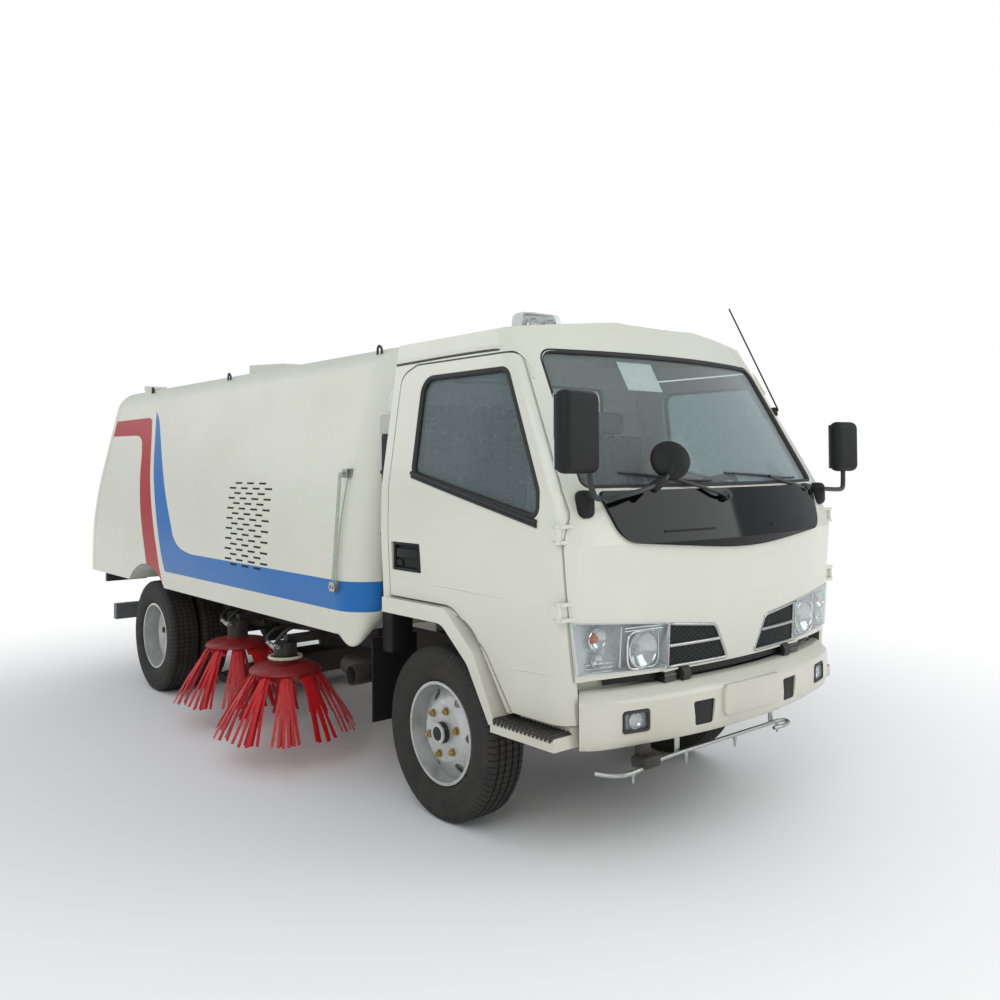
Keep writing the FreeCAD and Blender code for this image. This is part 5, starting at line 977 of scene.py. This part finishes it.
shell = modified(beacon_block([(0, low.z), (0.018, high.z - 0.018), (0.045, high.z)],
                              low.x - mid_x), "BEVEL", width=0.010, segments=4)
beacon_white = surface("white_beacon_plastic", "D9DAD6", "C6C7C0", 60, 0.5, (0.3, 0.45))
done(shell, "beacon_housing", "cab", beacon_white)
cover = beacon_block([(0.004, low.z), (0.034, high.z - 0.010), (0.060, high.z - 0.004)],
                     high.x - mid_x)
fresh(cover)
editing("VERT", "DESELECT")
bpy.ops.object.mode_set(mode="OBJECT")
for vertex in cover.data.vertices:
    vertex.select = vertex.co.x > mid_x + 0.01 and vertex.co.z > low.z + 0.01
bpy.ops.object.mode_set(mode="EDIT")
bpy.ops.transform.translate(value=(-0.038, 0, -0.004))
settled()
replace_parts(done(cover, "beacon_lens", "cab", clear_lens), "beacon")
for number, y in enumerate((low.y + 0.085, high.y - 0.085)):
    done(bowl((mid_x + 0.026, y, (low.z + high.z) / 2 + 0.004), Vector((1, 0, 0.1)).normalized(),
              0.044, 0.022), f"beacon_bowl_{number}", "cab", mirror_film, smooth=60)
    done(lathe([(0, 0), (0, 0.016), (0.03, 0.016), (0.036, 0.010), (0.038, 0)],
               (mid_x + 0.004, y, (low.z + high.z) / 2 + 0.004), (1, 0, 0), 20),
         f"beacon_bulb_{number}", "cab", red_lens if number else bulb_glass, smooth=60)

# The aerial is a thin black whip in a plastic foot.
dress(grained, "antenna", "mud_flaps", "steering_wheel")
foot_low, foot_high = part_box("antenna")
done(drum((foot_high.x - 0.018, foot_low.y + 0.015, foot_low.z - 0.012),
          (foot_high.x - 0.030, foot_low.y + 0.015, foot_low.z + 0.030), 0.016, 20, 0.004),
     "aerial_foot", "cab", grained, smooth=50)

# A blank paper sheet is taped inside the windscreen's top edge.
paper = surface("taped_paper", "EDEDE6", "DCDCD2", 40, 0.5, (0.7, 0.9))
sheet = [meet("windscreen", (3.2, y, z), (-1, 0, 0))[0] - Vector((0.014, 0, 0))
         for y, z in ((-0.335, 2.035), (-0.135, 2.033), (-0.135, 1.905), (-0.335, 1.907))]
done(plate(sheet, Vector((-0.001, 0, 0))), "windscreen_sheet", "cab", paper)

# The rear guard is a steel box section in grey paint, dusty from the road.
guard_grey = surface("grey_guard_paint", "6B6E70", "4A4942", 60, 0.6, (0.4, 0.6), metal=0.2)
dress(guard_grey, "rear_guard")

# The doors' outer sheets carry two shallow pressed creases.
for side, way in SIDES:
    for name, start, end, z, drop in (("upper", 1.75, 2.33, 1.070, -0.012),
                                      ("lower", 2.26, 2.585, 0.782, 0.016)):
        route = []
        for step in range(9):
            share = step / 8
            spot = skin(f"door_{side}", (start + (end - start) * share, 0, z + drop * share),
                        (0, -way, 0))[0]
            route.append(spot - Vector((0, way * (0.0035 + 0.004 * (2 * share - 1) ** 4), 0)))
        done(pipe(route, 0.0065), f"door_crease_{name}_{side}", f"{side}_door", cream, smooth=60)

# The steps have grey ribbed treads let into their enamelled aprons.
tread_grey = surface("worn_step_tread", "3A3A36", "6A675C", 14, 0.6, (0.5, 0.7), metal=0.4)
TREAD_BARS, TREAD_START, TREAD_PITCH, TREAD_WIDTH = 15, 2.243, 0.023, 0.012
for side, way in SIDES:
    bars = [slab((2.236, 0.790, 0.562), (2.588, 0.9515, 0.5775), 0.003)]
    for number in range(TREAD_BARS):
        x0 = TREAD_START + TREAD_PITCH * number
        x1 = x0 + TREAD_WIDTH
        bars.append(slab((x0, 0.795, 0.576), (x1, 0.9525, 0.583), 0.002))
        bars.append(slab((x0, 0.9505, 0.556), (x1, 0.9545, 0.580), 0.001))
    treads = joined(*bars)
    if way < 0:
        treads = flipped(treads)
    done(treads, f"step_tread_{side}", "cab", tread_grey)

# The air intake is a black plastic duct, topped by a perforated box and a white elbow.
low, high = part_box("air_intake")
duct = slab((low.x + 0.012, low.y, low.z), (high.x - 0.010, high.y, 1.745), 0.012, 3)
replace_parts(done(duct, "intake_duct", "chassis", grained), "air_intake")
sieve = surface("perforated_white_plastic", "C9CAC2", "8D8E86", 7, 0.8, (0.4, 0.6), dent_mm=1.0)
done(slab((low.x + 0.006, low.y - 0.004, 1.742), (high.x - 0.006, high.y + 0.004, 1.835), 0.010, 3),
     "intake_sieve", "chassis", sieve)
mid = Vector(((low.x + high.x) / 2, (low.y + high.y) / 2, 0))
elbow = pipe([(mid.x, mid.y, 1.82), (mid.x, mid.y, 1.955), (mid.x, mid.y + 0.14, 1.965)], 0.042,
             0.075, 6)
done(elbow, "intake_elbow", "chassis", beacon_white, smooth=60)
for number, z in enumerate((0.95, 1.25, 1.55)):
    done(slab((low.x + 0.009, low.y - 0.003, z), (high.x - 0.007, high.y + 0.003, z + 0.018),
              0.003), f"intake_band_{number}", "chassis", pocket_black)

# The sweeper body is folded sheet steel in cream enamel. A blue band runs along its foot and
# sweeps up behind, and a red band beside it turns back to the rear edge under the roof.
livery = surface("body_enamel_with_bands", "DADBCE", "CDCDBE", 900, 0.5, (0.22, 0.34), ior=1.3)
dress(livery, "box_shell")
tree, base = colour_of(livery)
place, (along, sideways, up) = object_axes(tree)
BAND_LOW, BAND_HIGH, REACH_LOW, REACH_HIGH = 0.80, 2.10, -3.0, 1.5
BLUE_FOOT, BLUE_TOP, RED_TOP, SHEET_Y = 0.879, 1.025, 1.962, 0.62


def line_at(points):
    """How far forward a drawn line stands at each height."""
    curve = add(tree, "ShaderNodeFloatCurve", {}, {"Value": ranged(tree, up, BAND_LOW, BAND_HIGH)})
    drawn = curve.mapping.curves[0]
    rows = [((z - BAND_LOW) / (BAND_HIGH - BAND_LOW), (x - REACH_LOW) / (REACH_HIGH - REACH_LOW))
            for z, x in points]
    drawn.points[0].location, drawn.points[1].location = rows[0], rows[-1]
    for row in rows[1:-1]:
        drawn.points.new(*row)
    curve.mapping.update()
    return ranged(tree, curve.outputs[0], 0.0, 1.0, REACH_LOW, REACH_HIGH)


def over(first, second):
    """One where the first is greater than the second."""
    return maths(tree, "GREATER_THAN", first, second)


def under(first, second):
    """One where the first is less than the second."""
    return maths(tree, "LESS_THAN", first, second)


def both(first, second):
    """Two masks as one, where both hold."""
    return maths(tree, "MULTIPLY", first, second)


blue_rear = line_at(((0.80, -1.175), (0.891, -1.224), (0.963, -1.277), (1.166, -1.392),
                     (1.375, -1.523), (1.593, -1.669), (1.804, -1.780), (1.985, -1.868),
                     (2.10, -1.92)))
blue_front = line_at(((0.80, 1.0), (1.022, -0.72), (1.030, -0.82), (1.052, -0.955), (1.105, -1.066),
                      (1.216, -1.164), (1.355, -1.286), (1.511, -1.422), (1.675, -1.562),
                      (1.844, -1.700), (1.955, -1.80), (2.00, -1.868), (2.10, -1.99)))
blue_mask = both(both(over(along, blue_rear),
                      maths(tree, "MAXIMUM", under(along, blue_front), under(up, BLUE_TOP))),
                 over(up, BLUE_FOOT))
red_front = line_at(((0.80, -1.262), (0.894, -1.317), (1.022, -1.385), (1.189, -1.480),
                     (1.374, -1.598), (1.565, -1.720), (1.734, -1.812), (1.90, -1.905),
                     (1.945, -1.935), (1.962, -1.99), (2.10, -2.20)))
red_rear = line_at(((0.80, -1.50), (0.88, -1.555), (1.098, -1.668), (1.314, -1.790),
                    (1.550, -1.918), (1.738, -2.012), (1.795, -2.060), (1.822, -2.125),
                    (1.835, -2.22), (1.838, -2.95), (2.10, -2.98)))
red_mask = both(both(under(along, red_front), over(along, red_rear)), under(up, RED_TOP))
facing_out = both(sideways, object_axes(tree, "Normal")[1][1])
outside = both(over(facing_out, 0.0), over(maths(tree, "ABSOLUTE", sideways), SHEET_Y))
for shade, band in (("0069B4", blue_mask), ("A80A16", red_mask)):
    base = tinted(tree, both(band, outside), base, shade)
film = both(ranged(tree, up, 0.70, 1.30, 0.14, 0.02), noise(tree, place, 1.8, 8.0))
show_colour(tree, tinted(tree, film, base, ROAD_FILM))

# Cooling slots stand in staggered rows in the side sheets by the engine bay, drawn as near-black
# inlays: painted shade for the open slots.
slot_shade = surface("shadowed_slot", "070707", "121211", 8, 0.5, (0.7, 0.9))
slot = slab((-0.044, -0.003, -0.0055), (0.044, 0.003, 0.0055), 0.0028, 2)
SLOT_ROWS, SLOT_TOP, ROW_DROP, ROW_LEAN, SLOT_PITCH = 17, 1.490, 0.0299, 0.0032, 0.158
EVEN_START, ODD_START = -0.178, -0.252
slots = []
for row in range(SLOT_ROWS):
    z = SLOT_TOP - ROW_DROP * row
    for column in range(3 + row % 2):
        x = (ODD_START if row % 2 else EVEN_START) + SLOT_PITCH * column + ROW_LEAN * row
        spot, normal = skin("box_shell", (x, 0, z), (0, 1, 0))
        slots.append(copy_of(slot, move=spot, axis=(1, 0, 0),
                             angle=-math.atan2(-normal.z, -normal.y)))
bpy.data.objects.remove(slot)
right_slots = joined(*slots)
left_slots = copy_of(right_slots, mirror=True)
done(right_slots, "side_slots_right", "chassis", slot_shade)
done(left_slots, "side_slots_left", "chassis", slot_shade)

# The water level gauge is a clear tube between plated end blocks bolted to the corner.
clear_tube = pane_glass("clear_gauge_tube", "E4E9E6", "B9C0BC", 0.5, 12)
dress(clear_tube, "level_gauge")
plated = surface("zinc_plated_steel", "B9BBB7", "8C8E89", 18, 0.6, (0.3, 0.45), metal=1.0)
low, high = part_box("level_gauge")
mid_x = (low.x + high.x) / 2
for name, z, size in (("top", high.z - 0.030, 0.046), ("foot", low.z - 0.006, 0.046)):
    wall = skin("box_shell", (mid_x, 0, z + size / 2), (0, 1, 0))[0].y
    block = [slab((mid_x - 0.023, wall - 0.036, z), (mid_x + 0.023, wall + 0.004, z + size),
                  0.004, 3)]
    for part in (-0.012, 0.012):
        block.append(drum((mid_x + part, wall - 0.036, z + size / 2),
                          (mid_x + part, wall - 0.042, z + size / 2), 0.007, 6, 0.001))
    done(joined(*block), f"gauge_block_{name}", "chassis", plated)
rod_line = [skin("box_shell", (mid_x + 0.019, 0, z), (0, 1, 0))[0] + Vector((0, -0.022, 0))
            for z in (low.z + 0.02, 1.15, 1.3, 1.42, high.z - 0.02)]
done(pipe(rod_line, 0.003), "gauge_rod", "chassis", plated, smooth=60)

# The spray bar is a thin plated pipe with four nozzles; both ends curl back, and a black bracket
# and two straps hang it from the bumper.
bar = pipe([(2.640, -0.783, 0.424), (2.690, -0.755, 0.421), (2.725, -0.700, 0.420),
            (2.722, -0.620, 0.424), (2.704, -0.500, 0.430), (2.697, -0.380, 0.430),
            (2.697, 0.240, 0.430), (2.692, 0.330, 0.430), (2.712, 0.375, 0.430),
            (2.745, 0.350, 0.430), (2.758, 0.280, 0.430), (2.748, 0.225, 0.430)], 0.0085, 0.045, 6)
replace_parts(done(bar, "spray_pipe", "chassis", plated, 60), "spray_bar")
for number, (x, y) in enumerate(((2.716, -0.655), (2.697, -0.315), (2.697, 0.013), (2.692, 0.335))):
    jet = lathe([(0.0, 0.0), (0.0, 0.0095), (-0.014, 0.0095), (-0.018, 0.0065), (-0.046, 0.0045),
                 (-0.048, 0.0)], (x, y, 0.426), (0, 0, 1), 14)
    done(jet, f"spray_nozzle_{number}", "chassis", plated, smooth=50)
for number, y in enumerate((-0.360, 0.290)):
    done(slab((2.684, y - 0.014, 0.420), (2.690, y + 0.014, 0.540), 0.001), f"spray_strap_{number}",
         "chassis", plated)
bracket = joined(slab((2.660, -0.610, 0.418), (2.735, -0.510, 0.462), 0.010, 3),
                 slab((2.665, -0.590, 0.450), (2.700, -0.530, 0.545), 0.006, 2))
done(bracket, "spray_bracket", "chassis", frame_black)

# Lifting hooks of bent bar are welded along the roof's edges.
for number, x in enumerate((-2.185, -0.774, 1.06)):
    for side, way in SIDES:
        top = skin("box_shell", (x, way * 0.715, 0), (0, 0, -1))[0]
        hook = pipe([(x - 0.020, top.y, top.z - 0.004), (x - 0.020, top.y, top.z + 0.028),
                     (x, top.y + way * 0.004, top.z + 0.046), (x + 0.020, top.y, top.z + 0.028),
                     (x + 0.020, top.y, top.z - 0.004)], 0.0065, 0.02)
        done(hook, f"lifting_hook_{number}_{side}", "chassis", frame_black, smooth=60)

# The brooms are dark red steel discs set with bundles of flat red plastic strips that splay
# outwards to the road, below hydraulic motors with hoses along their arms.
disc_red = surface("dark_red_disc_paint", "8C1219", "5A1013", 40, 0.6, (0.35, 0.55))
bristle_red = surface("red_polypropylene_strip", "C8141C", "96101A", 26, 0.6, (0.35, 0.55))
front_low, front_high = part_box("broom_front_right")
hub = Vector(((front_low.x + front_high.x) / 2, (front_low.y + front_high.y) / 2, 0))
disc = lathe([(0.528, 0.0), (0.528, 0.060), (0.520, 0.068), (0.514, 0.120), (0.506, 0.165),
              (0.490, 0.190), (0.478, 0.195), (0.474, 0.188), (0.482, 0.165), (0.486, 0.0)],
             (hub.x, hub.y, 0), (0, 0, 1), 64)


def ribbon(points, wide, thick):
    """A flat strip through points, given its width as a vector and its thickness."""
    chain(points)
    bpy.ops.mesh.extrude_region_move(TRANSFORM_OT_translate={"value": wide})
    return thickened(settled(), thick)


strips = []
SPREAD = ((-0.20, 0.372, 0.165, 0.150), (-0.12, 0.352, 0.152, 0.163), (-0.045, 0.388, 0.158, 0.145),
          (0.03, 0.362, 0.151, 0.170), (0.105, 0.380, 0.163, 0.152), (0.185, 0.345, 0.156, 0.160),
          (-0.08, 0.325, 0.150, 0.128), (0.07, 0.332, 0.152, 0.134))
for lean, reach, tip_z, root in SPREAD:
    root_turn, tip_turn = lean * 0.55, lean
    points = []
    for share in (0.0, 0.12, 0.35, 0.65, 1.0):
        turn = root_turn + (tip_turn - root_turn) * share
        radius = root + (reach - root) * (share ** 0.88)
        points.append((hub.x + radius * math.cos(turn), hub.y + radius * math.sin(turn),
                       0.486 + (tip_z - 0.486) * (share ** 1.12)))
    across_way = Vector((-math.sin(root_turn), math.cos(root_turn), 0)) * 0.017
    strips.append(ribbon([Vector(p) - across_way / 2 for p in points], across_way, 0.003))
collar = drum((hub.x + 0.118, hub.y, 0.496), (hub.x + 0.160, hub.y, 0.440), 0.030, 14, 0.004)
bundle = joined(*strips, collar)
BUNDLE_COUNT, BUNDLE_START = 10, 0.17
bundles = [copy_of(bundle, centre=hub, axis=(0, 0, 1),
                   angle=math.tau * number / BUNDLE_COUNT + BUNDLE_START)
           for number in range(BUNDLE_COUNT)]
bpy.data.objects.remove(bundle)
bristles = joined(*bundles)
for end in ("front", "rear"):
    low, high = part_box(f"broom_{end}_right")
    shift = Vector(((low.x + high.x) / 2, (low.y + high.y) / 2, 0)) - hub
    for side, way in SIDES:
        for name, shape, kind in (("disc", disc, disc_red), ("bristles", bristles, bristle_red)):
            piece = copy_of(shape, move=shift)
            if way > 0:
                piece = flipped(piece)
            done(piece, f"broom_{name}_{end}_{side}", f"{end}_{side}_broom", kind)
            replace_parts(piece, f"broom_{end}_{side}")
bpy.data.objects.remove(disc)
bpy.data.objects.remove(bristles)
hose_rubber = surface("black_hydraulic_hose", "161617", "2E2D2A", 12, 0.5, (0.45, 0.65))
ring_cream = surface("cream_hose_ring", "CFC9B4", "A39C86", 20, 0.6, (0.4, 0.6))


def fittings_of(route, back, nut_end, sleeve_end, radius):
    """A hexagon nut and a round sleeve at each end of a hose."""
    made = []
    for end, inner in ((route[0], route[1]), (route[-1], route[-2])):
        start = Vector(end)
        run = (Vector(inner) - start).normalized()
        made.append(drum(start - run * back, start + run * nut_end, radius, 6, 0.002))
        made.append(drum(start + run * nut_end, start + run * sleeve_end, radius - 0.002, 16,
                         0.002))
    return made


for end in ("front", "rear"):
    low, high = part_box(f"broom_{end}_right")
    cx, cy = (low.x + high.x) / 2, (low.y + high.y) / 2
    for side, way in SIDES:
        body = f"{end}_{side}_arm"
        y = -cy * way
        fittings, hoses = [], []
        for number, (dx, lift) in enumerate(((-0.036, 0.010), (0.036, 0.032))):
            route = [(cx + dx, y + way * 0.052, 0.600), (cx + dx * 1.6, y + way * 0.090, 0.640),
                     (cx + dx * 2.2, y + way * 0.030, 0.680 + lift),
                     (cx + dx * 1.8, y - way * 0.100, 0.692 + lift),
                     (cx + dx * 0.9, way * 0.560, 0.684 + lift * 0.5),
                     (cx + dx * 0.6, way * 0.470, 0.686)]
            hoses.append(pipe(route, 0.0105, 0.05))
            fittings += fittings_of(route, 0.006, 0.026, 0.050, 0.0145)
        done(joined(*hoses), f"arm_hoses_{end}_{side}", body, hose_rubber, smooth=60)
        done(joined(*fittings), f"hose_fittings_{end}_{side}", body, plated)
        if end == "front":
            loop = lathe([(0.548 + 0.009 * math.sin(a), 0.086 + 0.009 * math.cos(a))
                          for a in [math.tau * step / 10 for step in range(11)]],
                         (cx, y, 0), (0, 0, 1), 40)
            done(loop, f"hose_ring_{side}", body, ring_cream, smooth=60)

# Under the body more hoses hang in loops beside the frame's rails.
for side, way in SIDES:
    runs, ends = [], []
    for number, (x, y, drop, spread) in enumerate((
            (0.70, 0.52, 0.60, 0.20), (0.58, 0.60, 0.575, 0.26), (0.30, 0.55, 0.60, 0.30),
            (0.05, 0.62, 0.585, 0.24), (-0.12, 0.53, 0.61, 0.18), (0.82, 0.60, 0.61, 0.14))):
        route = [(x, way * 0.44, 0.735), (x + spread * 0.2, way * (y - 0.02), 0.722),
                 (x + spread * 0.1, way * y, drop + 0.07), (x - spread * 0.5, way * y, drop + 0.06),
                 (x - spread * 0.9, way * (y - 0.04), 0.715), (x - spread, way * 0.44, 0.732)]
        runs.append(pipe(route, 0.010, 0.06))
        ends += fittings_of(route, 0.0, 0.034, 0.060, 0.0140)
    done(joined(*runs), f"frame_hoses_{side}", "chassis", hose_rubber, smooth=60)
    done(joined(*ends), f"frame_fittings_{side}", "chassis", plated)

# The seats are padded in grey woven cloth, sewn in upright channels.
cloth = surface("grey_woven_seat_cloth", "5B5E62", "45484B", 2.2, 0.6, (0.8, 0.95), dent_mm=0.5)
piping = surface("dark_seat_piping", "222325", "303133", 4, 0.5, (0.6, 0.8))
low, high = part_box("seats")
for name, y0, y1, channels in (("driver", 0.230, 0.730, 4), ("bench", -0.805, -0.155, 5)):
    step = (y1 - y0) / channels
    pads, cords = [], []
    for number in range(channels):
        a, b = y0 + step * number, y0 + step * (number + 1)
        pads.append(slab((1.545, a - 0.003, 1.120), (1.938, b + 0.003, 1.268), 0.032, 6))
        pads.append(slab((1.470, a - 0.003, 1.235), (1.580, b + 0.003, 1.745), 0.032, 6))
    for head_y in ((y0 + y1) / 2,) if name == "driver" else (y0 + 0.17, y1 - 0.17):
        pads.append(slab((1.478, head_y - 0.125, 1.755), (1.560, head_y + 0.125, 1.878), 0.034, 6))
        for y in (head_y - 0.05, head_y + 0.05):
            cords.append(drum((1.518, y, 1.72), (1.518, y, 1.78), 0.007, 12))
    for z, x in ((1.236, 1.940), (1.722, 1.583)):
        cords.append(pipe([(x - 0.012, y0 + 0.01, z), (x - 0.012, y1 - 0.01, z)], 0.005))
    seat = done(joined(*pads), f"seat_cushions_{name}", "cab", cloth, 50)
    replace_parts(seat, "seats")
    done(joined(*cords), f"seat_piping_{name}", "cab", piping, smooth=50)

# The dashboard is moulded grey plastic with a hooded instrument binnacle, vents and a radio bay.
dash_plastic = surface("grey_dash_plastic", "4A4C4D", "3B3D3E", 4, 0.5, (0.6, 0.75), dent_mm=0.08)
low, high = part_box("dashboard")
dash = [slab((low.x + 0.03, low.y + 0.004, low.z + 0.01), (high.x - 0.13, high.y - 0.004,
                                                           high.z - 0.045), 0.040, 6),
        slab((low.x + 0.06, 0.26, high.z - 0.09), (low.x + 0.26, 0.70, high.z - 0.002), 0.034, 6),
        slab((low.x + 0.004, -0.20, low.z + 0.02), (low.x + 0.10, 0.16, high.z - 0.08), 0.022, 4)]
dashboard = done(joined(*dash), "dashboard_moulding", "cab", dash_plastic, smooth=45)
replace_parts(dashboard, "dashboard")
vents = []
for y in (-0.62, -0.40, -0.12, 0.08, 0.66):
    for bar in range(4):
        vents.append(slab((low.x + 0.020, y - 0.05, low.z + 0.195 + 0.013 * bar),
                          (low.x + 0.034, y + 0.05, low.z + 0.202 + 0.013 * bar), 0.001))
done(joined(*vents), "dashboard_vents", "cab", pocket_black)
